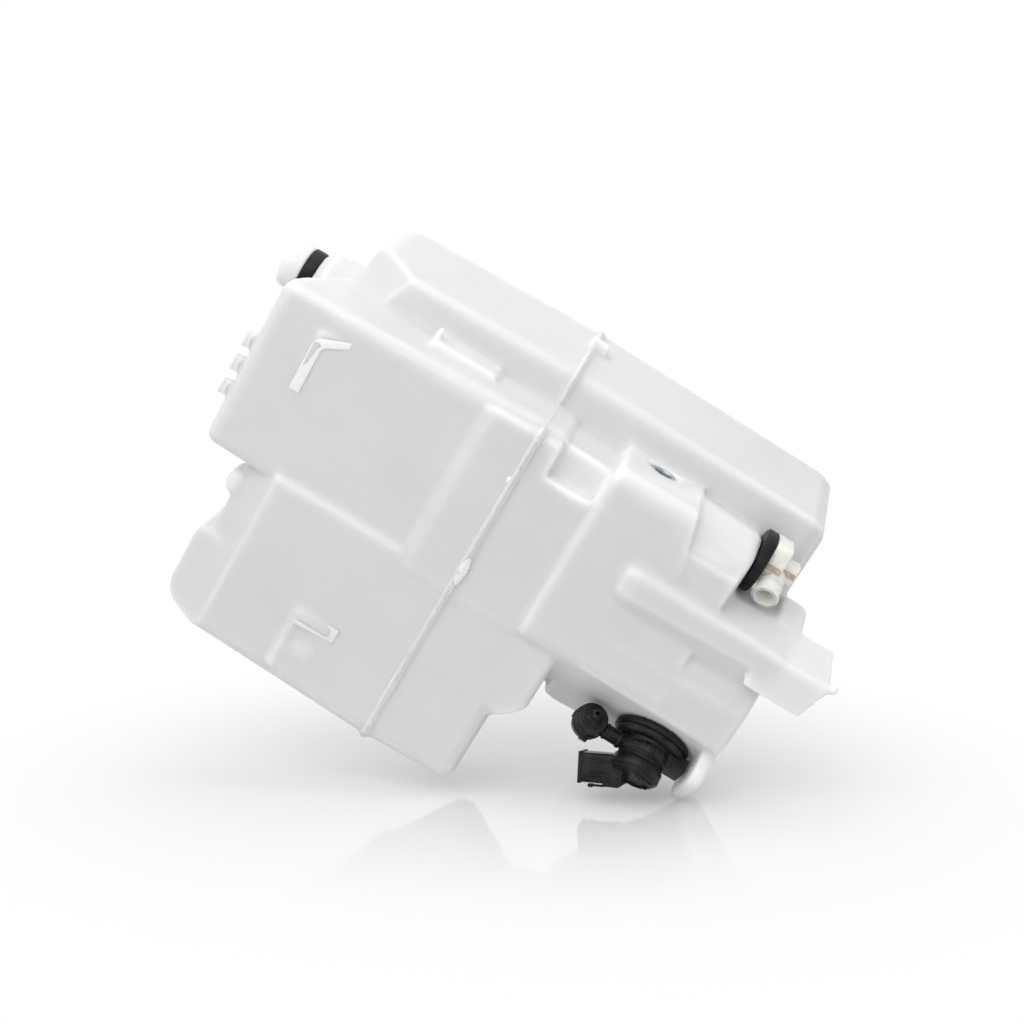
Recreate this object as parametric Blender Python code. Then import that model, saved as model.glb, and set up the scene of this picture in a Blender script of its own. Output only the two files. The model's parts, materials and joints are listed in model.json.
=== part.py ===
"""Washer fluid reservoir with its pump and level sensor.

A blow-moulded tank stands the way it hangs in the car: filler neck at the top, pump and sensor
at the bottom. Metres, +Z up, +X towards the long straight side, -Y towards the open front. The
origin lies on the flat face of the mounting ear, under its hole. The sizes below are millimetres.
"""

import math

import bmesh
import bpy
from mathutils import Matrix, Vector

MM = 0.001

# Mould
WALL = 2.6
DRAFT_DEG = 2.0
PARTING_Z = 86.5
FLASH_REACH = 2.2
FLASH_HEIGHT = 5.6
NUB_REACH = 5.0
NUB_ROOT = 12.0
NUB_RISE = 3.5
NUB_HEIGHT = 12.0
NUB_WIDTH = 8.0
LEFT_NUB_FRONT = 2.0

# Clearance between pieces that touch
GAP = 0.3

# Tall block at the back, which carries the neck
REAR_RIGHT_FRONT = 19.0
REAR_RIGHT_BACK = 29.5
REAR_LEFT = -62.0
REAR_FRONT = 16.0
REAR_BACK = 112.0
REAR_BOTTOM = -83.5
REAR_DRAFT_DEG = 1.5
REAR_TOP = 224.0
REAR_CREASE_Z = 204.6
REAR_SLOPE = (0.31, -0.66, 0.68)

# Upper middle block, with the recessed panel; its back right corner slopes down to the neck
UPPER_LEFT = -113.0
UPPER_RIGHT = -8.0
UPPER_FRONT = -31.5
UPPER_TOP = 249.0
BODY_BACK = 52.0
UPPER_CUT_FRONT = -22.0
UPPER_CUT_LEFT = -45.0
UPPER_CUT_DROP = 23.0

# Band over the parting line
BAND_FRONT = -41.0
BAND_RIGHT = -6.0
BAND_BOTTOM = 38.0
BAND_TOP = 121.0

# Left block with its saddle and shoulder
LEFT_SIDE = -220.0
LEFT_FRONT = -39.0
LEFT_BOTTOM = 30.0
LEFT_TOP = 231.5
LEFT_TOP_END = -159.0
LEFT_SLOPE_DEPTH = 24.0
LEFT_SLOPE_DROP = 29.0
SADDLE_TOP = 222.5
SHOULDER_LEFT = -168.0
SHOULDER_BOTTOM = 14.0

# Lower block over the sensor, and the sump that carries the pump
LOWER_LEFT = -138.0
LOWER_FRONT = -42.5
LOWER_BOTTOM = -50.3
LOWER_TOP = 42.5
LOWER_FRONT_RISE = 0.2
LOWER_PLAN_HEIGHT = -23.5
SUMP_LEFT = -155.0
SUMP_FRONT = -47.0
SUMP_TOP = 10.0
SUMP_BOTTOM = -92.0
SUMP_RIDGE_X = -87.0
SUMP_RIDGE_Y = -41.5
SUMP_VALLEY_X = -73.0
SUMP_VALLEY_Y = -36.0
SUMP_FRONT_LEFT = -58.0
SUMP_CORNER_X = -44.5
HEEL_BOTTOM = -96.5
HEEL_TOP = -79.5
HEEL_RIGHT = -29.0
HEEL_FRONT = -22.0
HEEL_BACK = 32.0

# Foot channel
FOOT_LEFT = -69.5
FOOT_CORNER = -46.0
FOOT_REAR_X = -36.0
FOOT_REAR_Y = -12.0
FOOT_BOTTOM = -121.0
FOOT_WALL = 3.2

# Mounting ear, whose face passes through the origin
EAR_FRONT = -42.0
EAR_BACK = 24.0
EAR_BOTTOM = -9.0
EAR_TOP = 41.5
EAR_THICKNESS = 9.5
EAR_HOLE_RADIUS = 8.0
EAR_HOLE_DEPTH = 6.5
EAR_HOLE_Y = -2.0
EAR_HOLE_Z = 17.0
SLEEVE_BORE_RADIUS = 5.6

# Rib above the ear, with its peg
RIB_FRONT = -11.0
RIB_BOTTOM = 125.0
RIB_TOP = 166.0
PEG_REACH = 6.0
PEG_THICKNESS = 3.6

# Hose pegs on the top
TOP_PEG_X = (-82.0, -66.6, -51.4)
TOP_PEG_WIDTH = 8.6
TOP_PEG_HEIGHT = 6.5
TOP_PEG_THICKNESS = 5.0

# Clip pocket
POCKET_LEFT = -27.0
POCKET_BOTTOM = 43.5
POCKET_TOP = 72.5
POCKET_DEPTH = 11.0

# Raised pads
PAD_RISE = 1.8
PAD_LEFT = -209.0
PAD_RIGHT = -168.0
PAD_BOTTOM = 128.0
PAD_TOP = 156.0
CORNER_PAD_RIGHT = -22.0
CORNER_PAD_TOP = 219.0
CORNER_PAD_RISE = 3.4

# Filler neck
NECK_X = -24.0
NECK_Y = 66.0
NECK_SHOULDER_RADIUS = 19.8
NECK_SHOULDER_HEIGHT = 20.7
NECK_SHOULDER_DROP = 4.3
NECK_CONE_HEIGHT = 5.4
NECK_SEAL_HEIGHT = 8.8
NECK_SEAL_DEPTH = 2.6
NECK_COLLAR_RADIUS = 15.2
NECK_COLLAR_HEIGHT = 12.4
NECK_LIP = 4.4

# Pump seat and port
PUMP_X = -133.5
PUMP_Y = -15.5
PUMP_Z = -57.0
PUMP_TURN_DEG = 41.5
PUMP_PORT_RADIUS = 17.0
GUARD_REACH = 21.0
GUARD_HALF_WIDTH = 22.0
GUARD_BOTTOM = -91.5
GUARD_TOP = -83.0
GUARD_ROOT = 8.0
GUARD_CORNER = 9.0

# Pump, along its own axis outwards from the tank wall
PUMP_SEAL_RADIUS = 23.0
PUMP_SEAL_THICKNESS = 4.2
SEAL_LIP_RISE = 1.3
SEAL_LIP_THICKNESS = 1.6
PUMP_RIM_RADIUS = 21.4
PUMP_RIM_THICKNESS = 3.0
PUMP_BODY_RADIUS = 14.0
PUMP_BODY_INSIDE = 24.0
PUMP_BODY_OUTSIDE = 17.0
PUMP_LUG_REACH = 24.0
PUMP_LUG_WIDTH = 16.0
PUMP_LUG_TOP = 14.5
PUMP_CAP_TOP = 28.5
PUMP_CAP_WALL = 2.0
CHAMBER_RADIUS = 12.0
CHAMBER_LENGTH = 7.0
PARTITION = 2.0
DUCT_RADIUS = 1.4
DUCT_OFFSET = 11.6
INTAKE_RADIUS = 3.4
INTAKE_PLATE = 2.0
INTAKE_SNOUT = 4.0
STRAINER_LENGTH = 10.0
STRAINER_WALL = 1.0

# Motor
MOTOR_RADIUS = 9.4
MOTOR_WALL = 0.9
MOTOR_TOP = 16.7
MAGNET_THICKNESS = 1.8
MAGNET_LOW = -9.0
MAGNET_HIGH = 11.0
AIR_GAP = 0.5
SHAFT_RADIUS = 1.0
SHAFT_SEAL_RADIUS = 2.6
RUNNING_GAP = 0.05
ARMATURE_SLOTS = 5
COMMUTATOR_RADIUS = 3.2
COMMUTATOR_LENGTH = 7.0
BRUSH_WIDTH = 3.0
BRUSH_HEIGHT = 2.6
IMPELLER_VANES = 6
IMPELLER_RADIUS = 10.5
IMPELLER_DISC = 1.2
VANE_HEIGHT = 3.4

# Check valve on the outlet, along its own axis
OUTLET_RADIUS = 4.2
OUTLET_BORE = 2.4
OUTLET_ALONG = 12.6
VALVE_RISE = 36.0
VALVE_RADIUS = 9.4
VALVE_WALL = 1.6
VALVE_BACK = 6.0
VALVE_SEAT = 2.6
VALVE_SEAT_RADIUS = 5.0
VALVE_FRONT = 5.2
VALVE_DISC_THICKNESS = 1.0
VALVE_CAP_THICKNESS = 2.2
NIPPLE_RADIUS = 2.3
NIPPLE_BORE = 1.2
NIPPLE_LENGTH = 12.0

# Pump connector, along its own axis from the middle of the cap
PLUG_ALONG = 24.0
PLUG_DIRECTION = (-0.52, 0.16, 0.84)
PLUG_FACING = (0.31, -0.95, 0.0)
PLUG_REACH = 32.0
PLUG_WIDTH = 17.0
PLUG_THICKNESS = 12.0
PLUG_WALL = 1.6
PLUG_SOCKET_DEPTH = 11.0
PIN_WIDTH = 2.8
PIN_THICKNESS = 0.8
PIN_SPACING = 6.4
PIN_START = 13.0
PIN_END = 26.0

# Level sensor
SENSOR_X = -16.5
SENSOR_Y = 0.0
SENSOR_PORT_RADIUS = 8.5
SENSOR_DISC_RADIUS = 18.9
SENSOR_DISC_THICKNESS = 7.0
SENSOR_SLEEVE = 2.0
SENSOR_BLOCK_LOW = (-8.0, -12.0)
SENSOR_BLOCK_HIGH = (17.0, 13.0)
SENSOR_BLOCK_HEIGHT = 9.5
SENSOR_FOOT_LOW = (-3.0, -6.0)
SENSOR_FOOT_HIGH = (9.0, 8.0)
SENSOR_FOOT_HEIGHT = 18.5
SENSOR_TUBE_RADIUS = 7.2
SENSOR_TUBE_WALL = 1.5
SENSOR_TUBE_REACH = 22.0
SENSOR_TUBE_TURN_DEG = 31.0
SENSOR_TUBE_DEPTH = 15.7
SENSOR_SOCKET_DEPTH = 12.0
SENSOR_PIN_WIDTH = 1.8
SENSOR_PIN_SPACING = 4.4
SENSOR_PIN_START = 7.0
SENSOR_PIN_END = 14.0
STEM_RADIUS = 3.2
STEM_BORE = 2.0
STEM_FOOT_RADIUS = 5.4
STEM_FOOT_HEIGHT = 1.5
REED_RADIUS = 1.3
REED_LENGTH = 22.0
FLOAT_RADIUS = 8.6
FLOAT_HEIGHT = 16.0
FLOAT_TRAVEL = 18.0
FLOAT_CLEARANCE = 0.4
FLOAT_MAGNET_RADIUS = 5.6
FLOAT_MAGNET_HEIGHT = 5.0
FLOAT_STOP_RADIUS = 5.4
FLOAT_STOP_HEIGHT = 5.0

NATURAL = (0.80, 0.80, 0.80)
BLACK_PLASTIC = (0.035, 0.037, 0.040)
BLACK_RUBBER = (0.012, 0.013, 0.014)
CREAM = (0.72, 0.68, 0.56)
STEEL = (0.46, 0.48, 0.48)
BRASS = (0.70, 0.52, 0.25)
COPPER = (0.62, 0.28, 0.14)
FERRITE = (0.08, 0.08, 0.09)
FOAM = (0.06, 0.06, 0.07)
CLEAR_GLASS = (0.75, 0.82, 0.80)


def tangent(degrees):
    return math.tan(math.radians(degrees))


def finish(name, bm):
    """Turns a bmesh in metres into an object with its faces pointing out."""
    bmesh.ops.remove_doubles(bm, verts=bm.verts, dist=1e-7)
    bmesh.ops.recalc_face_normals(bm, faces=bm.faces)
    mesh = bpy.data.meshes.new(name)
    bm.to_mesh(mesh)
    bm.free()
    piece = bpy.data.objects.new(name, mesh)
    bpy.context.scene.collection.objects.link(piece)
    return piece


def place(piece, frame):
    """Moves a piece's mesh from its own millimetre frame into the world."""
    piece.data.transform(frame)
    piece.data.update()
    return piece


def plan_ring(corners, inset, z, arc_steps):
    """Points of a rounded plan outline, moved inwards by inset, at height z."""
    points = []
    count = len(corners)
    for index, (x, y, radius) in enumerate(corners):
        here = Vector((x, y))
        way_in = (here - Vector(corners[index - 1][:2])).normalized()
        way_out = (Vector(corners[(index + 1) % count][:2]) - here).normalized()
        turn = math.atan2(way_in.cross(way_out), way_in.dot(way_out))
        inward_in = Vector((-way_in.y, way_in.x))
        inward_out = Vector((-way_out.y, way_out.x))
        bisector = (inward_in + inward_out).normalized()
        corner = here + bisector * (inset / math.cos(turn / 2))
        side = 1 if turn > 0 else -1
        fillet = max(radius - side * inset, 0.3)
        start = corner - way_in * fillet * abs(math.tan(turn / 2))
        centre = start + inward_in * side * fillet
        for step in range(arc_steps + 1):
            spoke = inward_in * -side * fillet
            spoke.rotate(Matrix.Rotation(turn * step / arc_steps, 2))
            points.append(Vector((centre.x + spoke.x, centre.y + spoke.y, z)))
    return points


def loft(name, rings):
    """Closed solid through rings of equal count, given in millimetres from the bottom up."""
    bm = bmesh.new()
    loops = [[bm.verts.new(point * MM) for point in ring] for ring in rings]
    count = len(loops[0])
    for low, high in zip(loops, loops[1:]):
        for index in range(count):
            following = (index + 1) % count
            bm.faces.new((low[index], low[following], high[following], high[index]))
    bm.faces.new(list(reversed(loops[0])))
    bm.faces.new(loops[-1])
    return finish(name, bm)


def block(name, corners, low, high, reference, rolls, inset=0.0, draft=DRAFT_DEG, flash=False):
    """Mould block: a plan outline with rolled ends, drafted away from the parting plane.

    The outline is true at the height reference. An inset makes the same block one wall smaller.
    The outside of a block that the parting plane crosses can carry the ridge of flash there.
    """
    arc_steps = 2 if inset else 3
    roll_steps = 2
    bottom = low + inset
    top = high - inset
    roll_low = max(rolls[0] - inset, 0.4)
    roll_high = max(rolls[1] - inset, 0.4)

    def drafted(z):
        return (abs(z - PARTING_Z) - abs(reference - PARTING_Z)) * tangent(draft) + inset

    levels = []
    for step in range(roll_steps + 1):
        angle = math.pi / 2 * step / roll_steps
        z = bottom + roll_low * (1 - math.cos(angle))
        levels.append((z, roll_low * (1 - math.sin(angle))))
    if flash and not inset:
        half = FLASH_HEIGHT / 2
        for z, reach in ((-half, 0.0), (-0.6, FLASH_REACH), (0.6, FLASH_REACH), (half, 0.0)):
            levels.append((PARTING_Z + z, -reach))
    elif bottom + roll_low < PARTING_Z - 1 and top - roll_high > PARTING_Z + 1:
        levels.append((PARTING_Z, 0.0))
    for step in range(roll_steps + 1):
        angle = math.pi / 2 * (1 - step / roll_steps)
        z = top - roll_high * (1 - math.cos(angle))
        levels.append((z, roll_high * (1 - math.sin(angle))))
    rings = [plan_ring(corners, drafted(z) + roll, z, arc_steps) for z, roll in levels]
    return loft(name, rings)


def slice_off(piece, point, normal):
    """Cuts away what lies beyond a plane, and closes the cut."""
    bm = bmesh.new()
    bm.from_mesh(piece.data)
    geometry = bm.verts[:] + bm.edges[:] + bm.faces[:]
    cut = bmesh.ops.bisect_plane(
        bm,
        geom=geometry,
        dist=1e-7,
        plane_co=Vector(point) * MM,
        plane_no=Vector(normal).normalized(),
        clear_outer=True,
    )
    edges = [item for item in cut["geom_cut"] if isinstance(item, bmesh.types.BMEdge)]
    if edges:
        bmesh.ops.contextual_create(bm, geom=edges)
    bmesh.ops.recalc_face_normals(bm, faces=bm.faces)
    bm.to_mesh(piece.data)
    bm.free()
    return piece


def bar(name, low, high):
    """Plain rectangular solid between two corners in millimetres."""
    bm = bmesh.new()
    bmesh.ops.create_cube(bm, size=1.0)
    size = Vector(high) - Vector(low)
    middle = (Vector(high) + Vector(low)) / 2
    bmesh.ops.scale(bm, vec=size * MM, verts=bm.verts)
    bmesh.ops.translate(bm, vec=middle * MM, verts=bm.verts)
    return finish(name, bm)


def rounded_bar(name, low, high, radius):
    """Rectangular solid with its four long edges along Z rounded."""
    corners = [
        (low[0], low[1], radius),
        (high[0], low[1], radius),
        (high[0], high[1], radius),
        (low[0], high[1], radius),
    ]
    rings = [plan_ring(corners, 0.0, z, 3) for z in (low[2], high[2])]
    return loft(name, rings)


def turned(name, profile, steps=32):
    """Solid of revolution about Z from an outline of (radius, height) points in millimetres."""
    bm = bmesh.new()
    points = [bm.verts.new((radius * MM, 0.0, height * MM)) for radius, height in profile]
    count = len(points)
    edges = []
    for index in range(count):
        following = (index + 1) % count
        on_axis = profile[index][0] == 0 and profile[following][0] == 0
        if not on_axis:
            edges.append(bm.edges.new((points[index], points[following])))
    bmesh.ops.spin(
        bm,
        geom=points + edges,
        cent=(0, 0, 0),
        axis=(0, 0, 1),
        angle=math.tau,
        steps=steps,
        use_merge=True,
        use_duplicate=False,
    )
    bmesh.ops.remove_doubles(bm, verts=bm.verts, dist=1e-6)
    return finish(name, bm)


def rod(name, radius, low, high, steps=32):
    return turned(name, [(0, low), (radius, low), (radius, high), (0, high)], steps)


def tube(name, outer, inner, low, high, steps=32):
    return turned(name, [(inner, low), (outer, low), (outer, high), (inner, high)], steps)


def combine(target, tools, operation):
    """Joins tools to a solid, or cuts them from it, and keeps only the result."""
    for tool in tools:
        modifier = target.modifiers.new(tool.name, 'BOOLEAN')
        modifier.operation = operation
        modifier.solver = 'EXACT'
        modifier.object = tool
    depsgraph = bpy.context.evaluated_depsgraph_get()
    result = bpy.data.meshes.new_from_object(target.evaluated_get(depsgraph))
    target.modifiers.clear()
    target.data = result
    for tool in tools:
        bpy.data.objects.remove(tool)
    bm = bmesh.new()
    bm.from_mesh(result)
    bmesh.ops.remove_doubles(bm, verts=bm.verts, dist=2e-6)
    bmesh.ops.dissolve_degenerate(bm, edges=bm.edges, dist=1e-6)
    bm.to_mesh(result)
    bm.free()
    return target


def join(target, *tools):
    return combine(target, tools, 'UNION')


def cut(target, *tools):
    return combine(target, tools, 'DIFFERENCE')


def material(name, color, roughness, metallic=0.0):
    surface = bpy.data.materials.new(name)
    surface.use_nodes = True
    shader = surface.node_tree.nodes["Principled BSDF"]
    shader.inputs["Base Color"].default_value = (*color, 1.0)
    shader.inputs["Roughness"].default_value = roughness
    shader.inputs["Metallic"].default_value = metallic
    surface.diffuse_color = (*color, 1.0)
    return surface


def dress(piece, name, surface):
    """Gives a finished piece its name and material, and shades its round faces smooth."""
    piece.name = name
    piece.data.name = name
    piece.data.materials.clear()
    piece.data.materials.append(surface)
    piece.data.shade_smooth()
    piece.data.set_sharp_from_angle(angle=math.radians(32))
    return piece


# Blocks of the tank. Each is made twice: once for the outside, once a wall smaller for the cavity.


def front_slope(piece, front, top, depth, drop, inset):
    """Slopes the front of a block's top down towards the viewer."""
    normal = Vector((0, -drop, depth)).normalized()
    return slice_off(piece, Vector((0, front + depth, top)) - normal * inset, normal)


def rear_block(inset):
    corners = [
        (REAR_LEFT, REAR_FRONT, 8),
        (REAR_RIGHT_FRONT, REAR_FRONT, 7),
        (REAR_RIGHT_BACK, REAR_BACK, 13),
        (REAR_LEFT, REAR_BACK, 20),
    ]
    levels = (REAR_BOTTOM, REAR_TOP, PARTING_Z)
    piece = block("rear", corners, *levels, (12, 9), inset, REAR_DRAFT_DEG, flash=True)
    normal = Vector(REAR_SLOPE).normalized()
    front = REAR_FRONT + (REAR_CREASE_Z - PARTING_Z) * tangent(REAR_DRAFT_DEG)
    crease = Vector((UPPER_RIGHT, front, REAR_CREASE_Z))
    return slice_off(piece, crease - normal * inset, normal)


def upper_block(inset):
    corners = [
        (UPPER_LEFT, UPPER_FRONT, 7),
        (UPPER_RIGHT, UPPER_FRONT, 4.5),
        (UPPER_RIGHT, BODY_BACK, 12),
        (UPPER_LEFT, BODY_BACK, 16),
    ]
    middle = BAND_TOP - 50
    piece = block("upper", corners, middle, UPPER_TOP, UPPER_TOP, (5, 5), inset)
    front = Vector((UPPER_RIGHT, UPPER_CUT_FRONT, UPPER_TOP))
    back = Vector((UPPER_RIGHT, BODY_BACK, UPPER_TOP - UPPER_CUT_DROP))
    left = Vector((UPPER_CUT_LEFT, BODY_BACK, UPPER_TOP))
    normal = (back - front).cross(left - front).normalized()
    return slice_off(piece, front - normal * inset, normal)


def band_block(inset):
    corners = [
        (UPPER_LEFT - 6, BAND_FRONT, 7),
        (BAND_RIGHT, BAND_FRONT, 4.5),
        (BAND_RIGHT, BODY_BACK - 1, 10),
        (UPPER_LEFT - 6, BODY_BACK - 1, 10),
    ]
    rolls = (4, 7)
    return block("band", corners, BAND_BOTTOM, BAND_TOP, PARTING_Z, rolls, inset, flash=True)


def left_block(inset):
    corners = [
        (LEFT_SIDE, LEFT_FRONT, 13),
        (UPPER_LEFT + 10, LEFT_FRONT - 1, 6),
        (UPPER_LEFT + 10, BODY_BACK - 2, 12),
        (LEFT_SIDE, BODY_BACK - 2, 18),
    ]
    rolls = (8, 8)
    piece = block("left", corners, LEFT_BOTTOM, SADDLE_TOP, PARTING_Z, rolls, inset, flash=True)
    front = LEFT_FRONT + (SADDLE_TOP - PARTING_Z) * tangent(DRAFT_DEG)
    depth = LEFT_SLOPE_DEPTH * 0.8
    drop = LEFT_SLOPE_DROP - (LEFT_TOP - SADDLE_TOP)
    return front_slope(piece, front, SADDLE_TOP, depth, drop, inset)


def left_top_block(inset):
    corners = [
        (LEFT_SIDE, LEFT_FRONT, 13),
        (LEFT_TOP_END, LEFT_FRONT, 8),
        (LEFT_TOP_END, BODY_BACK - 5, 12),
        (LEFT_SIDE, BODY_BACK - 3, 18),
    ]
    low = PARTING_Z + 30
    piece = block("left_top", corners, low, LEFT_TOP, PARTING_Z, (4, 9), inset)
    front = LEFT_FRONT + (LEFT_TOP - PARTING_Z) * tangent(DRAFT_DEG)
    return front_slope(piece, front, LEFT_TOP, LEFT_SLOPE_DEPTH, LEFT_SLOPE_DROP, inset)


def shoulder_block(inset):
    corners = [
        (SHOULDER_LEFT, LEFT_FRONT + 2, 8),
        (LOWER_LEFT + 40, LEFT_FRONT + 1, 6),
        (LOWER_LEFT + 40, BODY_BACK - 8, 8),
        (SHOULDER_LEFT, BODY_BACK - 8, 12),
    ]
    top = LEFT_BOTTOM + 30
    piece = block("shoulder", corners, SHOULDER_BOTTOM, top, LEFT_BOTTOM, (5, 3), inset)
    rise = LEFT_BOTTOM - SHOULDER_BOTTOM
    normal = Vector((-1, 0, -1)).normalized()
    corner = Vector((SHOULDER_LEFT + rise, 0, SHOULDER_BOTTOM))
    return slice_off(piece, corner - normal * inset, normal)


def pump_normal():
    turn = math.radians(PUMP_TURN_DEG)
    return Vector((-math.cos(turn), -math.sin(turn), 0))


def pump_origin():
    return Vector((PUMP_X, PUMP_Y, PUMP_Z))


def seat_x(y, proud):
    """X at which the plane of the pump's seat, moved outwards by proud, passes a given Y."""
    normal = pump_normal()
    point = pump_origin() + normal * proud
    return point.x - normal.y * (y - point.y) / normal.x


def seat_y(x, proud):
    normal = pump_normal()
    point = pump_origin() + normal * proud
    return point.y - normal.x * (x - point.x) / normal.y


def lower_block(inset):
    """Lower block; its right flank turns round the level sensor in three facets."""
    recess = -1.0
    corners = [
        (LOWER_LEFT, seat_y(LOWER_LEFT, recess), 5),
        (seat_x(LOWER_FRONT, recess), LOWER_FRONT, 15),
        (SENSOR_X - 6, LOWER_FRONT + 2, 3),
        (SENSOR_X + 10, SENSOR_Y - 17, 4),
        (SENSOR_X + 14.5, SENSOR_Y - 4, 4),
        (SENSOR_X + 10, REAR_FRONT + 7, 4),
        (SENSOR_X - 20, BODY_BACK - 3, 10),
        (LOWER_LEFT, BODY_BACK - 3, 14),
    ]
    piece = block("lower", corners, LOWER_BOTTOM, LOWER_TOP, LOWER_PLAN_HEIGHT, (3.4, 3.4), inset)
    normal = Vector((0, -LOWER_FRONT_RISE, -1)).normalized()
    crease = Vector((SENSOR_X, SENSOR_Y - SENSOR_DISC_RADIUS - 1, LOWER_BOTTOM))
    return slice_off(piece, crease - normal * inset, normal)


def sump_block(inset):
    """Sump: a groove runs up its front, and its left corner is cut flat for the pump."""
    proud = 1.4
    front = SUMP_RIDGE_Y + 2.5
    corners = [
        (SUMP_LEFT, seat_y(SUMP_LEFT, proud), 6),
        (seat_x(front, proud), front, 10),
        (SUMP_RIDGE_X, SUMP_RIDGE_Y, 8),
        (SUMP_VALLEY_X, SUMP_VALLEY_Y, 4),
        (SUMP_FRONT_LEFT, SUMP_FRONT, 4),
        (SUMP_CORNER_X, SUMP_FRONT, 4),
        (SUMP_CORNER_X + 8, SENSOR_Y - 18, 8),
        (SUMP_CORNER_X + 9, BODY_BACK - 12, 10),
        (SUMP_LEFT, BODY_BACK - 6, 14),
    ]
    piece = block("sump", corners, SUMP_BOTTOM, SUMP_TOP, PUMP_Z, (4, 8), inset)
    normal = pump_normal()
    return slice_off(piece, pump_origin() - normal * inset, normal)


def heel_block(inset):
    """Low bulge at the sump's right, behind the foot and under the level sensor."""
    corners = [
        (SUMP_CORNER_X - 8, HEEL_FRONT, 4),
        (SUMP_CORNER_X + 8, HEEL_FRONT + 3, 4),
        (HEEL_RIGHT, (HEEL_FRONT + HEEL_BACK) / 2 + 6, 6),
        (SUMP_CORNER_X + 9, HEEL_BACK, 6),
        (SUMP_CORNER_X - 16, HEEL_BACK, 6),
    ]
    return block("heel", corners, HEEL_BOTTOM, HEEL_TOP, HEEL_TOP, (4, 2), inset)


def guard_block(inset):
    """Lip of the sump that reaches out under the pump and keeps stones off it."""
    outwards = pump_normal()
    sideways = Vector((-outwards.y, outwards.x, 0))
    half = GUARD_HALF_WIDTH
    outline = [
        (-half, GUARD_REACH, GUARD_CORNER),
        (half, GUARD_REACH, GUARD_CORNER),
        (half, -GUARD_ROOT, 3),
        (-half, -GUARD_ROOT, 3),
    ]
    corners = []
    for side, reach, radius in outline:
        point = pump_origin() + sideways * side + outwards * reach
        corners.append((point.x, point.y, radius))
    return block("guard", corners, GUARD_BOTTOM, GUARD_TOP, GUARD_TOP, (3, 1.5), inset)


def ear_block():
    """Mounting ear: no draft, so that its face stays flat and square."""
    corners = [
        (-56, EAR_FRONT, 9),
        (0, EAR_FRONT, 7),
        (0, EAR_BACK, 3),
        (-56, EAR_BACK, 5),
    ]
    piece = block("ear", corners, EAR_BOTTOM - 9, EAR_TOP, 0, (1, 3), draft=0)
    return slice_off(piece, (0, 0, EAR_BOTTOM), (0.26, 0, -0.965))


def ear_hollow():
    corners = [
        (-56, EAR_FRONT, 9),
        (-EAR_THICKNESS + WALL, EAR_FRONT, 7),
        (-EAR_THICKNESS + WALL, EAR_BACK, 3),
        (-56, EAR_BACK, 5),
    ]
    piece = block("ear", corners, EAR_BOTTOM - 9, EAR_TOP, 0, (1, 3), WALL, 0)
    return slice_off(piece, (0, 0, EAR_BOTTOM + WALL), (0.26, 0, -0.965))


def rib_block():
    corners = [
        (UPPER_RIGHT - 14, RIB_FRONT, 2),
        (0, RIB_FRONT, 2.5),
        (0, REAR_FRONT + 8, 2),
        (UPPER_RIGHT - 14, REAR_FRONT + 8, 2),
    ]
    piece = block("rib", corners, RIB_BOTTOM - 9, RIB_TOP, PARTING_Z, (1, 2.4), draft=0)
    return slice_off(piece, (0, 0, RIB_BOTTOM), (0.5, 0, -0.866))


def rib_peg():
    low = (-4, RIB_FRONT + 4, RIB_TOP - PEG_THICKNESS - 0.6)
    high = (PEG_REACH, RIB_FRONT + 14, RIB_TOP - 0.6)
    return bar("rib_peg", low, high)


def top_pegs():
    front = UPPER_FRONT + 8
    pegs = []
    for index, x in enumerate(TOP_PEG_X):
        low = (x - TOP_PEG_WIDTH / 2, front, UPPER_TOP - 1.5)
        high = (x + TOP_PEG_WIDTH / 2, front + TOP_PEG_THICKNESS, UPPER_TOP + TOP_PEG_HEIGHT)
        pegs.append(rounded_bar(f"top_peg_{index}", low, high, 1.2))
    return pegs


def saddle_bump():
    corners = [
        (UPPER_LEFT - 26, LEFT_FRONT + 20, 5),
        (UPPER_LEFT - 10, LEFT_FRONT + 20, 5),
        (UPPER_LEFT - 10, LEFT_FRONT + 44, 5),
        (UPPER_LEFT - 26, LEFT_FRONT + 44, 5),
    ]
    return block("bump", corners, SADDLE_TOP - 14, SADDLE_TOP + 6.5, SADDLE_TOP, (2, 5))


def flash_nubs():
    """Tails of flash where the parison was pinched off at both ends."""
    middle = (REAR_FRONT + REAR_BACK) / 2
    right = REAR_RIGHT_BACK + NUB_REACH - 3
    left = LEFT_SIDE - NUB_REACH
    top = PARTING_Z + NUB_RISE
    right_low = (right - NUB_ROOT, middle - 2, top - NUB_HEIGHT)
    left_low = (left, LEFT_NUB_FRONT, top - NUB_HEIGHT / 2)
    return [
        bar("nub_right", right_low, (right, middle - 2 + NUB_WIDTH, top)),
        bar("nub_left", left_low, (left + NUB_ROOT, LEFT_NUB_FRONT + NUB_WIDTH, top)),
    ]


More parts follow.
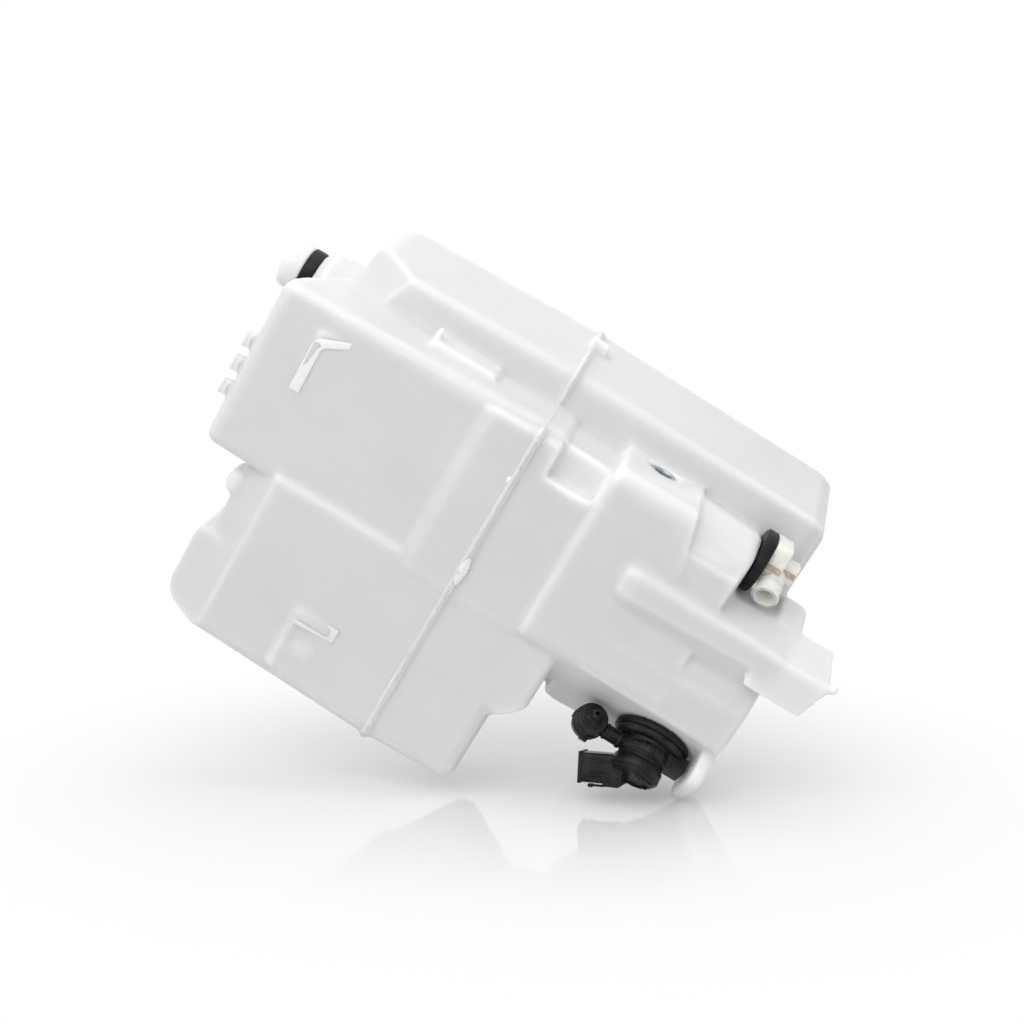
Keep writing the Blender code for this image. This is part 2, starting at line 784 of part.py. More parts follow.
def foot_channel():
    """Angle-shaped foot under the sump, with a hook at its lower corner."""
    front = SUMP_FRONT + 1.5
    side = Vector((FOOT_REAR_X - FOOT_CORNER, FOOT_REAR_Y - front)).normalized()
    corners = [
        (FOOT_LEFT, front, 0.6),
        (FOOT_CORNER, front, 3.4),
        (FOOT_REAR_X, FOOT_REAR_Y, 0.6),
        (FOOT_REAR_X - FOOT_WALL * side.y, FOOT_REAR_Y + FOOT_WALL * side.x, 0.6),
        (FOOT_CORNER - FOOT_WALL * 0.8, front + FOOT_WALL, 0.6),
        (FOOT_LEFT, front + FOOT_WALL, 0.6),
    ]
    levels = (FOOT_BOTTOM - 8, SUMP_BOTTOM + 14)
    piece = loft("foot", [plan_ring(corners, 0.0, z, 2) for z in levels])
    slice_off(piece, (FOOT_CORNER, front, FOOT_BOTTOM), (-0.298, 0.206, -1))
    low = (FOOT_CORNER - 2.5, front + 0.4, FOOT_BOTTOM - 3.4)
    high = (FOOT_CORNER + 3, front + 5, FOOT_BOTTOM + 0.6)
    return [piece, bar("foot_hook", low, high)]


def raised_shape(name, outline, front, back):
    """Flat shape drawn in X and Z, standing out of a front wall between two depths."""
    rings = [plan_ring(outline, inset, height, 2) for height, inset in ((0, 0), (back - front, 0))]
    piece = loft(name, rings)
    turn = Matrix.Rotation(math.pi / 2, 4, 'X')
    return place(piece, Matrix.Translation(Vector((0, back, 0)) * MM) @ turn)


def left_pad():
    """Raised angle on the left block with a small boss beside it."""
    front = LEFT_FRONT - PAD_RISE + (PAD_TOP - PARTING_Z) * tangent(DRAFT_DEG)
    back = LEFT_FRONT + 5
    angle = [
        (PAD_LEFT, PAD_TOP - 4, 1),
        (PAD_RIGHT - 10, PAD_TOP - 4, 1),
        (PAD_RIGHT - 10, PAD_BOTTOM, 1),
        (PAD_RIGHT, PAD_BOTTOM, 1),
        (PAD_RIGHT, PAD_TOP, 1.5),
        (PAD_LEFT, PAD_TOP, 1.5),
    ]
    boss = [
        (PAD_LEFT + 13, PAD_BOTTOM + 6, 3),
        (PAD_LEFT + 22, PAD_BOTTOM + 6, 3),
        (PAD_LEFT + 22, PAD_TOP - 9, 3),
        (PAD_LEFT + 13, PAD_TOP - 9, 3),
    ]
    return [
        raised_shape("left_pad", angle, front, back),
        raised_shape("left_boss", boss, front, back + 0.5),
    ]


def corner_pad():
    """Low wedge on the panel, which rises towards its upper right corner."""
    front = UPPER_FRONT - CORNER_PAD_RISE
    corners = [
        (CORNER_PAD_RIGHT - 40, front, 1.5),
        (CORNER_PAD_RIGHT, front, 1.5),
        (CORNER_PAD_RIGHT, UPPER_FRONT + 6, 1),
        (CORNER_PAD_RIGHT - 40, UPPER_FRONT + 6, 1),
    ]
    low = CORNER_PAD_TOP - 36
    piece = block("corner_pad", corners, low, CORNER_PAD_TOP, CORNER_PAD_TOP, (0.5, 1.5))
    return slice_off(piece, (CORNER_PAD_RIGHT, front, CORNER_PAD_TOP), (-0.04, -1, -0.055))


def pocket_tool(grown):
    """Space of the clip pocket, which is open to the front and to the right."""
    low = (POCKET_LEFT - grown, BAND_FRONT - 12, POCKET_BOTTOM - grown)
    high = (BAND_RIGHT + 14, BAND_FRONT + POCKET_DEPTH + grown, POCKET_TOP + grown)
    return bar("pocket", low, high)


def neck_shoulder_top():
    """Height of the neck's shoulder, clear of the rear block and near the upper block's top."""
    return max(REAR_TOP + NECK_SHOULDER_HEIGHT, UPPER_TOP - NECK_SHOULDER_DROP)


def neck_levels():
    cone_top = neck_shoulder_top() + NECK_CONE_HEIGHT
    collar_bottom = cone_top + NECK_SEAL_HEIGHT
    return cone_top, collar_bottom, collar_bottom + NECK_COLLAR_HEIGHT


def neck_outside():
    cone_top, collar_bottom, collar_top = neck_levels()
    groove = NECK_COLLAR_RADIUS - NECK_SEAL_DEPTH
    profile = [
        (0, REAR_TOP - WALL * 0.6),
        (NECK_SHOULDER_RADIUS + 1.6, REAR_TOP - WALL * 0.6),
        (NECK_SHOULDER_RADIUS + 0.5, REAR_TOP + 2),
        (NECK_SHOULDER_RADIUS, neck_shoulder_top()),
        (NECK_COLLAR_RADIUS, cone_top),
        (groove, cone_top),
        (groove, collar_bottom),
        (NECK_COLLAR_RADIUS, collar_bottom),
        (NECK_COLLAR_RADIUS, collar_top - 3.5),
        (NECK_COLLAR_RADIUS - 1.0, collar_top - 1.2),
        (NECK_COLLAR_RADIUS - 3.2, collar_top),
        (0, collar_top),
    ]
    neck = turned("neck", profile, 40)
    return place(neck, Matrix.Translation(Vector((NECK_X, NECK_Y, 0)) * MM))


def neck_bore():
    collar_top = neck_levels()[2]
    bore = NECK_COLLAR_RADIUS - NECK_LIP
    wide = NECK_SHOULDER_RADIUS - WALL
    profile = [
        (0, REAR_TOP - 12),
        (wide, REAR_TOP - 12),
        (wide, neck_shoulder_top() - 3),
        (bore, neck_shoulder_top() + 1.5),
        (bore, collar_top + 1),
        (0, collar_top + 1),
    ]
    cutter = turned("neck_bore", profile, 32)
    return place(cutter, Matrix.Translation(Vector((NECK_X, NECK_Y, 0)) * MM))


def pump_frame():
    """Frame at the pump's seat: local Z points out of the tank, local X points up."""
    outwards = pump_normal()
    upwards = Vector((0, 0, 1))
    sideways = outwards.cross(upwards)
    turn = Matrix((upwards, sideways, outwards)).transposed().to_4x4()
    return Matrix.Translation(pump_origin() * MM) @ turn


def sensor_frame():
    """Frame at the sensor's seat: local Z points down out of the tank."""
    place_at = Matrix.Translation(Vector((SENSOR_X, SENSOR_Y, LOWER_BOTTOM)) * MM)
    return place_at @ Matrix.Rotation(math.pi, 4, 'X')


def ear_frame():
    """Frame at the ear's hole: local Z points out of its face."""
    place_at = Matrix.Translation(Vector((0, EAR_HOLE_Y, EAR_HOLE_Z)) * MM)
    return place_at @ Matrix.Rotation(math.pi / 2, 4, 'Y')


def tank(surface):
    blocks = [
        rear_block,
        upper_block,
        band_block,
        left_block,
        left_top_block,
        shoulder_block,
        lower_block,
        sump_block,
        heel_block,
        guard_block,
    ]
    outside, *others = [make(0.0) for make in blocks]
    details = [ear_block(), rib_block(), rib_peg(), saddle_bump(), corner_pad(), neck_outside()]
    details += top_pegs() + foot_channel() + left_pad() + flash_nubs()
    join(outside, *others, *details)
    cavity, *hollows = [make(WALL) for make in blocks]
    join(cavity, *hollows, ear_hollow())
    cut(cavity, pocket_tool(WALL))
    pump_port = rod("pump_port", PUMP_PORT_RADIUS, -WALL - 8, 3, 32)
    sensor_port = rod("sensor_port", SENSOR_PORT_RADIUS, -WALL - 5, 3, 32)
    ear_hole = rod("ear_hole", EAR_HOLE_RADIUS, -EAR_HOLE_DEPTH, 3, 32)
    place(pump_port, pump_frame())
    place(sensor_port, sensor_frame())
    place(ear_hole, ear_frame())
    cut(outside, cavity, pocket_tool(0.0), neck_bore(), pump_port, sensor_port, ear_hole)
    return dress(outside, "tank", surface)


def shifted(x, y, z):
    return Matrix.Translation(Vector((x, y, z)) * MM)


def outlet_frame():
    """Frame of the outlet tube: local Z points up from the pump's axis."""
    return pump_frame() @ shifted(0, 0, OUTLET_ALONG) @ Matrix.Rotation(math.pi / 2, 4, 'Y')


def valve_frame():
    """Frame of the check valve: local Z points out of its nipple."""
    cup = shifted(VALVE_RISE, 0, OUTLET_ALONG)
    return pump_frame() @ cup @ Matrix.Rotation(math.pi / 2, 4, 'X')


def frame_along(direction, facing):
    """Turn whose local Z follows a direction and whose local Y lies nearest to facing."""
    along = Vector(direction).normalized()
    toward = Vector(facing)
    toward = (toward - along * toward.dot(along)).normalized()
    across = toward.cross(along)
    return Matrix((across, toward, along)).transposed().to_4x4()


def plug_frame():
    """Frame of the pump's connector: local Z points out of its mouth."""
    start = pump_origin() + pump_normal() * PLUG_ALONG
    return Matrix.Translation(start * MM) @ frame_along(PLUG_DIRECTION, PLUG_FACING)


def sensor_tube_frame():
    """Frame of the sensor's connector: local Z points out of its mouth, to the front."""
    turn = math.radians(SENSOR_TUBE_TURN_DEG)
    start = Vector((SENSOR_X, SENSOR_Y, LOWER_BOTTOM - SENSOR_TUBE_DEPTH))
    direction = (-math.sin(turn), -math.cos(turn), 0)
    return Matrix.Translation(start * MM) @ frame_along(direction, (0, 0, 1))


def seated(piece, frame, name, surface):
    return dress(place(piece, frame), name, surface)


# Neck and ear


def neck_seal(surface):
    """Rubber ring in the groove under the neck's collar."""
    cone_top, collar_bottom, _ = neck_levels()
    inner = NECK_COLLAR_RADIUS - NECK_SEAL_DEPTH + GAP
    low = cone_top + GAP
    high = collar_bottom - GAP
    edge = 0.8
    profile = [
        (inner, low),
        (NECK_COLLAR_RADIUS - edge, low),
        (NECK_COLLAR_RADIUS, low + edge),
        (NECK_COLLAR_RADIUS, high - edge),
        (NECK_COLLAR_RADIUS - edge, high),
        (inner, high),
    ]
    ring = turned("neck_seal", profile, 40)
    return seated(ring, shifted(NECK_X, NECK_Y, 0), "neck_seal", surface)


def ear_sleeve(surface):
    """Steel sleeve in the ear's hole, a little below the ear's face."""
    outer = EAR_HOLE_RADIUS - GAP
    sleeve = tube("ear_sleeve", outer, SLEEVE_BORE_RADIUS, GAP - EAR_HOLE_DEPTH, -GAP)
    return seated(sleeve, ear_frame(), "ear_sleeve", surface)


# Pump


def port_seal(name, port, bore, flange, thickness):
    """Rubber seal in a port: an outside flange, a sleeve through the wall and a lip inside."""
    sleeve = port - GAP
    inside = -WALL - GAP
    lip = inside - SEAL_LIP_THICKNESS
    edge = 1.0
    profile = [
        (bore, lip),
        (port, lip),
        (port + SEAL_LIP_RISE, inside - 0.6),
        (port + SEAL_LIP_RISE, inside),
        (sleeve, inside),
        (sleeve, GAP),
        (flange - edge, GAP),
        (flange, GAP + edge),
        (flange, GAP + thickness - edge),
        (flange - edge, GAP + thickness),
        (bore, GAP + thickness),
    ]
    return turned(name, profile, 32)


def pump_grommet(surface):
    bore = PUMP_BODY_RADIUS + GAP
    seal = port_seal("seal", PUMP_PORT_RADIUS, bore, PUMP_SEAL_RADIUS, PUMP_SEAL_THICKNESS)
    return seated(seal, pump_frame(), "pump_grommet", surface)


def housing_shell():
    """Body of the pump: chamber at the tank's side, partition, and a bore for the motor."""
    rim_low = PUMP_SEAL_THICKNESS + 2 * GAP
    rim_high = rim_low + PUMP_RIM_THICKNESS
    partition = CHAMBER_LENGTH - PUMP_BODY_INSIDE
    motor_bore = MOTOR_RADIUS + GAP
    seal_hole = SHAFT_SEAL_RADIUS + GAP
    profile = [
        (CHAMBER_RADIUS, -PUMP_BODY_INSIDE),
        (PUMP_BODY_RADIUS, -PUMP_BODY_INSIDE),
        (PUMP_BODY_RADIUS, rim_low),
        (PUMP_RIM_RADIUS, rim_low),
        (PUMP_RIM_RADIUS, rim_high - 1),
        (PUMP_RIM_RADIUS - 1, rim_high),
        (PUMP_BODY_RADIUS, rim_high),
        (PUMP_BODY_RADIUS, PUMP_BODY_OUTSIDE),
        (motor_bore, PUMP_BODY_OUTSIDE),
        (motor_bore, partition + PARTITION),
        (seal_hole, partition + PARTITION),
        (seal_hole, partition),
        (CHAMBER_RADIUS, partition),
    ]
    return turned("housing", profile, 32)


def pump_housing(surface):
    """Body with its lug, outlet tube and valve cup, and the duct from the chamber to the outlet."""
    shell = housing_shell()
    rim_low = PUMP_SEAL_THICKNESS + 2 * GAP
    half = PUMP_LUG_WIDTH / 2
    lug_low = (-PUMP_LUG_REACH, -half, rim_low + 0.5)
    lug = bar("lug", lug_low, (3 - PUMP_BODY_RADIUS, half, PUMP_LUG_TOP))
    place(shell, pump_frame())
    place(lug, pump_frame())
    riser = rod("riser", OUTLET_RADIUS, PUMP_BODY_RADIUS - 2, VALVE_RISE, 24)
    place(riser, outlet_frame())
    cup = rod("cup", VALVE_RADIUS, -VALVE_BACK, VALVE_FRONT)
    place(cup, valve_frame())
    join(shell, lug, riser, cup)
    front = rod("front", VALVE_RADIUS - VALVE_WALL, VALVE_SEAT, VALVE_FRONT + 1)
    rear = rod("rear", VALVE_SEAT_RADIUS, VALVE_WALL - VALVE_BACK, VALVE_SEAT + 0.5, 24)
    bore = rod("bore", OUTLET_BORE, DUCT_OFFSET - 0.6, VALVE_RISE, 16)
    duct_low = CHAMBER_LENGTH - PUMP_BODY_INSIDE - 1
    duct = rod("duct", DUCT_RADIUS, duct_low, OUTLET_ALONG, 12)
    place(front, valve_frame())
    place(rear, valve_frame())
    place(bore, outlet_frame())
    place(duct, pump_frame() @ shifted(DUCT_OFFSET, 0, 0))
    cut(shell, front, rear, bore, duct)
    return dress(shell, "pump_housing", surface)


def connector_slot(frame, side):
    """Slot in the connector's floor round one pin."""
    half_width = PIN_WIDTH / 2 + GAP
    half_thickness = PIN_THICKNESS / 2 + GAP
    centre = side * PIN_SPACING / 2
    low = (centre - half_width, -half_thickness, PIN_START - 3)
    high = (centre + half_width, half_thickness, PLUG_REACH - PLUG_SOCKET_DEPTH + 1)
    return place(bar("slot", low, high), frame)


def pump_cap(surface):
    """End cap with the connector on its side and a bearing for the shaft inside."""
    low = PUMP_BODY_OUTSIDE + GAP
    floor = PUMP_CAP_TOP - PUMP_CAP_WALL
    edge = 1.5
    profile = [
        (0, low),
        (PUMP_BODY_RADIUS, low),
        (PUMP_BODY_RADIUS, PUMP_CAP_TOP - edge),
        (PUMP_BODY_RADIUS - edge, PUMP_CAP_TOP),
        (0, PUMP_CAP_TOP),
    ]
    cap = place(turned("cap", profile, 32), pump_frame())
    half_width = PLUG_WIDTH / 2
    half_thickness = PLUG_THICKNESS / 2
    box_low = (-half_width, -half_thickness, 6)
    box = rounded_bar("box", box_low, (half_width, half_thickness, PLUG_REACH), 1.4)
    place(box, plug_frame())
    slice_off(box, pump_origin() + pump_normal() * low, -pump_normal())
    join(cap, box)
    inside = rod("inside", PUMP_BODY_RADIUS - PUMP_CAP_WALL, low - 1, floor, 32)
    cut(cap, place(inside, pump_frame()))
    boss = rod("boss", SHAFT_SEAL_RADIUS, floor - 2.4, floor + 0.5, 24)
    join(cap, place(boss, pump_frame()))
    bearing = rod("bearing", SHAFT_RADIUS + RUNNING_GAP, floor - 3, floor, 24)
    socket = rounded_bar(
        "socket",
        (PLUG_WALL - half_width, PLUG_WALL - half_thickness, PLUG_REACH - PLUG_SOCKET_DEPTH),
        (half_width - PLUG_WALL, half_thickness - PLUG_WALL, PLUG_REACH + 1),
        0.8,
    )
    place(bearing, pump_frame())
    place(socket, plug_frame())
    cut(cap, bearing, socket, connector_slot(plug_frame(), -1), connector_slot(plug_frame(), 1))
    return dress(cap, "pump_cap", surface)


def pump_pin(name, side, surface):
    centre = side * PIN_SPACING / 2
    low = (centre - PIN_WIDTH / 2, -PIN_THICKNESS / 2, PIN_START)
    high = (centre + PIN_WIDTH / 2, PIN_THICKNESS / 2, PIN_END)
    return seated(bar(name, low, high), plug_frame(), name, surface)


def motor_can(surface):
    """Steel cup round the motor, with the shaft's lower bearing in its floor."""
    low = CHAMBER_LENGTH - PUMP_BODY_INSIDE + PARTITION + GAP
    inner = MOTOR_RADIUS - MOTOR_WALL
    bearing = SHAFT_RADIUS + RUNNING_GAP
    profile = [
        (bearing, low),
        (MOTOR_RADIUS, low),
        (MOTOR_RADIUS, MOTOR_TOP),
        (inner, MOTOR_TOP),
        (inner, low + MOTOR_WALL),
        (bearing, low + MOTOR_WALL),
    ]
    return seated(turned("can", profile, 32), pump_frame(), "motor_can", surface)


def magnet_outer():
    return MOTOR_RADIUS - MOTOR_WALL - GAP


def magnet(name, side, surface):
    """Curved magnet that lines a third of the motor's can."""
    outer = magnet_outer()
    inner = outer - MAGNET_THICKNESS
    half_angle = math.radians(62)
    steps = 10
    angles = [half_angle * (2 * step / steps - 1) for step in range(steps + 1)]
    arc = [(outer, angle) for angle in angles] + [(inner, angle) for angle in reversed(angles)]
    rings = []
    for z in (MAGNET_LOW, MAGNET_HIGH):
        rings.append([Vector((r * math.cos(a), side * r * math.sin(a), z)) for r, a in arc])
    turn = Matrix.Rotation(0 if side > 0 else math.pi, 4, 'Z')
    return seated(loft(name, rings), pump_frame() @ turn, name, surface)


def motor_shaft(surface):
    low = -PUMP_BODY_INSIDE + 1.6
    high = PUMP_CAP_TOP - PUMP_CAP_WALL - 0.5
    shaft = rod("shaft", SHAFT_RADIUS, low, high, 24)
    return seated(shaft, pump_frame(), "motor_shaft", surface)


def armature(surface):
    """Laminated rotor with slots for the winding."""
    radius = magnet_outer() - MAGNET_THICKNESS - AIR_GAP
    rotor = tube("rotor", radius, SHAFT_RADIUS + GAP, MAGNET_LOW + 1, MAGNET_HIGH - 1)
    slots = []
    for index in range(ARMATURE_SLOTS):
        slot = bar("slot", (2.6, -0.8, MAGNET_LOW), (radius + 1, 0.8, MAGNET_HIGH))
        slots.append(place(slot, Matrix.Rotation(math.tau * index / ARMATURE_SLOTS, 4, 'Z')))
    cut(rotor, *slots)
    return seated(rotor, pump_frame(), "armature", surface)


def commutator_low():
    return MOTOR_TOP - 0.6


def commutator(surface):
    low = commutator_low()
    bore = SHAFT_RADIUS + GAP
    ring = tube("ring", COMMUTATOR_RADIUS, bore, low, low + COMMUTATOR_LENGTH, 24)
    return seated(ring, pump_frame(), "commutator", surface)


def brush_plate_high():
    return PUMP_BODY_OUTSIDE + 2 * GAP + 1.6


def brush_plate(surface):
    """Plate in the cap that holds the two brushes."""
    outer = PUMP_BODY_RADIUS - PUMP_CAP_WALL - GAP
    low = PUMP_BODY_OUTSIDE + 2 * GAP
    plate = tube("plate", outer, COMMUTATOR_RADIUS + 0.8, low, brush_plate_high())
    return seated(plate, pump_frame(), "brush_plate", surface)


def brush(name, side, surface):
    """Carbon block that bears on the commutator."""
    near = COMMUTATOR_RADIUS + GAP
    low = brush_plate_high() + GAP
    near_corner = (-BRUSH_WIDTH / 2, near, low)
    piece = bar(name, near_corner, (BRUSH_WIDTH / 2, near + 5, low + BRUSH_HEIGHT))
    turn = Matrix.Rotation(0 if side > 0 else math.pi, 4, 'Z')
    return seated(piece, pump_frame() @ turn, name, surface)


def shaft_seal(surface):
    low = CHAMBER_LENGTH - PUMP_BODY_INSIDE
    bore = SHAFT_RADIUS + RUNNING_GAP
    ring = tube("ring", SHAFT_SEAL_RADIUS, bore, low, low + PARTITION, 24)
    return seated(ring, pump_frame(), "shaft_seal", surface)


def impeller(surface):
    """Disc with straight vanes that face the intake."""
    high = CHAMBER_LENGTH - PUMP_BODY_INSIDE - 0.6
    low = high - IMPELLER_DISC
    wheel = rod("wheel", IMPELLER_RADIUS, low, high, 32)
    hub = rod("hub", 3.0, low - VANE_HEIGHT, low + 0.4, 24)
    vanes = []
    for index in range(IMPELLER_VANES):
        vane_low = (1.5, -0.6, low - VANE_HEIGHT + 0.3)
        vane = bar("vane", vane_low, (IMPELLER_RADIUS - 0.3, 0.6, low + 0.4))
        vanes.append(place(vane, Matrix.Rotation(math.tau * index / IMPELLER_VANES, 4, 'Z')))
    join(wheel, hub, *vanes)
    cut(wheel, rod("bore", SHAFT_RADIUS + GAP, low - VANE_HEIGHT - 1, high + 1, 24))
    return seated(wheel, pump_frame(), "impeller", surface)


def intake_cover(surface):
    """Cover over the impeller, with a snout that reaches into the tank."""
    high = -PUMP_BODY_INSIDE - GAP
    low = high - INTAKE_PLATE
    snout = INTAKE_RADIUS + 1.6
    profile = [
        (INTAKE_RADIUS, low - INTAKE_SNOUT),
        (snout, low - INTAKE_SNOUT),
        (snout, low),
        (PUMP_BODY_RADIUS, low),
        (PUMP_BODY_RADIUS, high),
        (INTAKE_RADIUS, high),
    ]
    return seated(turned("cover", profile, 32), pump_frame(), "intake_cover", surface)


def intake_strainer(surface):
    """Strainer cup over the snout, with holes round its side."""
    high = -PUMP_BODY_INSIDE - INTAKE_PLATE - 2 * GAP
    low = high - STRAINER_LENGTH
    inner = INTAKE_RADIUS + 1.6 + GAP
    outer = inner + STRAINER_WALL
    profile = [
        (0, low),
        (outer, low),
        (outer, high),
        (inner, high),
        (inner, low + STRAINER_WALL),
        (0, low + STRAINER_WALL),
    ]
    cup = turned("cup", profile, 32)
    holes = []
    for index in range(4):
        hole = rod("hole", 0.9, -outer - 1, outer + 1, 10)
        lay = Matrix.Rotation(math.pi / 2, 4, 'Y')
        spin = Matrix.Rotation(math.pi * (index + 0.5) / 4, 4, 'Z')
        holes.append(place(hole, spin @ shifted(0, 0, low + 3) @ lay))
    for hole in holes:
        cut(cup, hole)
    return seated(cup, pump_frame(), "intake_strainer", surface)


def valve_disc(surface):
    """Loose disc that the outlet's pressure lifts off its seat."""
    low = VALVE_SEAT + GAP
    disc = rod("disc", VALVE_RADIUS - VALVE_WALL - 0.6, low, low + VALVE_DISC_THICKNESS, 24)
    return seated(disc, valve_frame(), "valve_disc", surface)


def valve_cap(surface):
    """Front of the check valve, with the barbed nipple for the hose."""
    low = VALVE_FRONT + GAP
    high = low + VALVE_CAP_THICKNESS
    tip = high + NIPPLE_LENGTH
    root = NIPPLE_RADIUS + 1.8
    profile = [
        (NIPPLE_BORE, low),
        (VALVE_RADIUS, low),
        (VALVE_RADIUS, high - 0.8),
        (VALVE_RADIUS - 0.8, high),
        (root + 1.6, high),
        (root, high + 2.4),
        (NIPPLE_RADIUS - 0.3, high + 3.4),
        (NIPPLE_RADIUS - 0.3, tip - 4),
        (NIPPLE_RADIUS + 0.4, tip - 3.6),
        (NIPPLE_RADIUS - 0.5, tip),
        (NIPPLE_BORE, tip),
    ]
    return seated(turned("cap", profile, 32), valve_frame(), "valve_cap", surface)


# Level sensor


def sensor_grommet(surface):
    bore = SENSOR_PORT_RADIUS - GAP - SENSOR_SLEEVE
    disc = SENSOR_DISC_RADIUS
    seal = port_seal("seal", SENSOR_PORT_RADIUS, bore, disc, SENSOR_DISC_THICKNESS)
    return seated(seal, sensor_frame(), "sensor_grommet", surface)


def sensor_block(name, low, high, start, end, radius):
    """Upright rounded block of the sensor's body, placed from the sensor's axis."""
    corners = (Vector((*low, start)), Vector((*high, end)))
    return place(rounded_bar(name, *corners, radius), sensor_turned_frame())


def sensor_turned_frame():
    """Frame at the sensor's seat with local Z up."""
    return shifted(SENSOR_X, SENSOR_Y, LOWER_BOTTOM)


def sensor_shank_top():
    return WALL + GAP + SEAL_LIP_THICKNESS


def sensor_body(surface):
    """Cream plug under the tank: a block, a shank through its seal and the connector's tube."""
    block_top = -SENSOR_DISC_THICKNESS - 2 * GAP
    block_low = block_top - SENSOR_BLOCK_HEIGHT
    foot_low = block_top - SENSOR_FOOT_HEIGHT
    body = sensor_block("body", SENSOR_BLOCK_LOW, SENSOR_BLOCK_HIGH, block_low, block_top, 3)
    foot = sensor_block("foot", SENSOR_FOOT_LOW, SENSOR_FOOT_HIGH, foot_low, block_low + 1, 2)
    shank_radius = SENSOR_PORT_RADIUS - SENSOR_SLEEVE - 2 * GAP
    shank = rod("shank", shank_radius, block_top - 1, sensor_shank_top(), 32)
    place(shank, sensor_turned_frame())
    connector = rod("connector", SENSOR_TUBE_RADIUS, 1, SENSOR_TUBE_REACH, 32)
    place(connector, sensor_tube_frame())
    join(body, foot, shank, connector)
    floor = SENSOR_TUBE_REACH - SENSOR_SOCKET_DEPTH
    bore = SENSOR_TUBE_RADIUS - SENSOR_TUBE_WALL
    socket = rod("socket", bore, floor, SENSOR_TUBE_REACH + 1, 32)
    place(socket, sensor_tube_frame())
    slots = []
    for side in (-1, 1):
        centre = side * SENSOR_PIN_SPACING / 2
        half = SENSOR_PIN_WIDTH / 2 + GAP
        slot_low = (centre - half, -half, SENSOR_PIN_START - GAP)
        slot = bar("slot", slot_low, (centre + half, half, floor + 1))
        slots.append(place(slot, sensor_tube_frame()))
    cut(body, socket, *slots)
    return dress(body, "sensor_body", surface)


def sensor_pin(name, side, surface):
    centre = side * SENSOR_PIN_SPACING / 2
    half = SENSOR_PIN_WIDTH / 2
    low = (centre - half, -half, SENSOR_PIN_START)
    high = (centre + half, half, SENSOR_PIN_END)
    return seated(bar(name, low, high), sensor_tube_frame(), name, surface)


def stem_levels():
    """Heights above the seat: the stem's foot, the float's rest and the stop's lower edge."""
    foot = sensor_shank_top() + GAP
    rest = foot + STEM_FOOT_HEIGHT + GAP
    stop = rest + FLOAT_HEIGHT + FLOAT_TRAVEL + GAP
    return foot, rest, stop


def sensor_stem(surface):
    """Hollow stem that guides the float and holds the reed switch."""
    foot, _, stop = stem_levels()
    top = stop + FLOAT_STOP_HEIGHT - 1.5
    profile = [
        (STEM_BORE, foot),
        (STEM_FOOT_RADIUS, foot),
        (STEM_FOOT_RADIUS, foot + STEM_FOOT_HEIGHT),
        (STEM_RADIUS, foot + STEM_FOOT_HEIGHT),
        (STEM_RADIUS, top),
        (STEM_BORE, top),
    ]
    stem = turned("stem", profile, 24)
    return seated(stem, sensor_turned_frame(), "sensor_stem", surface)


def reed_switch(surface):
    foot, _, _ = stem_levels()
    switch = rod("switch", REED_RADIUS, foot + 1, foot + 1 + REED_LENGTH, 16)
    return seated(switch, sensor_turned_frame(), "reed_switch", surface)


def level_float(surface):
    """Foam float round the stem, with a pocket for its magnet."""
    _, rest, _ = stem_levels()
    bore = STEM_RADIUS + FLOAT_CLEARANCE
    pocket = FLOAT_MAGNET_RADIUS + GAP
    ceiling = rest + FLOAT_MAGNET_HEIGHT + GAP
    top = rest + FLOAT_HEIGHT
    profile = [
        (pocket, rest),
        (FLOAT_RADIUS, rest),
        (FLOAT_RADIUS, top - 1),
        (FLOAT_RADIUS - 1, top),
        (bore, top),
        (bore, ceiling),
        (pocket, ceiling),
    ]
    piece = turned("float", profile, 32)
    return seated(piece, sensor_turned_frame(), "level_float", surface)


def float_magnet(surface):
    _, rest, _ = stem_levels()
    bore = STEM_RADIUS + FLOAT_CLEARANCE
    ring = tube("ring", FLOAT_MAGNET_RADIUS, bore, rest, rest + FLOAT_MAGNET_HEIGHT, 32)
    return seated(ring, sensor_turned_frame(), "float_magnet", surface)


def float_stop(surface):
    """Cap on the stem's end that keeps the float on."""
    _, _, stop = stem_levels()
    top = stop + FLOAT_STOP_HEIGHT
    bore = STEM_RADIUS + GAP
    profile = [
        (bore, stop),
        (FLOAT_STOP_RADIUS, stop),
        (FLOAT_STOP_RADIUS, top),
        (0, top),
        (0, top - 1.2),
        (bore, top - 1.2),
    ]
    cap = turned("stop", profile, 24)
    return seated(cap, sensor_turned_frame(), "float_stop", surface)


def clear_scene():
    for old in list(bpy.data.objects):
        bpy.data.objects.remove(old)


def make_pump():
    black = material("pump_black_plastic", BLACK_PLASTIC, 0.45)
    rubber = material("pump_rubber", BLACK_RUBBER, 0.6)
    steel = material("motor_steel", STEEL, 0.35, 1.0)
    ferrite = material("magnet_ferrite", FERRITE, 0.7)
    copper = material("copper", COPPER, 0.35, 1.0)
    brass = material("pin_brass", BRASS, 0.3, 1.0)
    pump_grommet(rubber)
    pump_housing(black)
    pump_cap(black)
    pump_pin("pump_pin_a", -1, brass)
    pump_pin("pump_pin_b", 1, brass)
    motor_can(steel)
    magnet("magnet_a", 1, ferrite)
    magnet("magnet_b", -1, ferrite)
    motor_shaft(steel)
    armature(steel)
    commutator(copper)
    brush_plate(black)
    brush("brush_a", 1, ferrite)
    brush("brush_b", -1, ferrite)
    shaft_seal(rubber)
    impeller(black)
    intake_cover(black)
    intake_strainer(black)
    valve_disc(rubber)
    valve_cap(black)


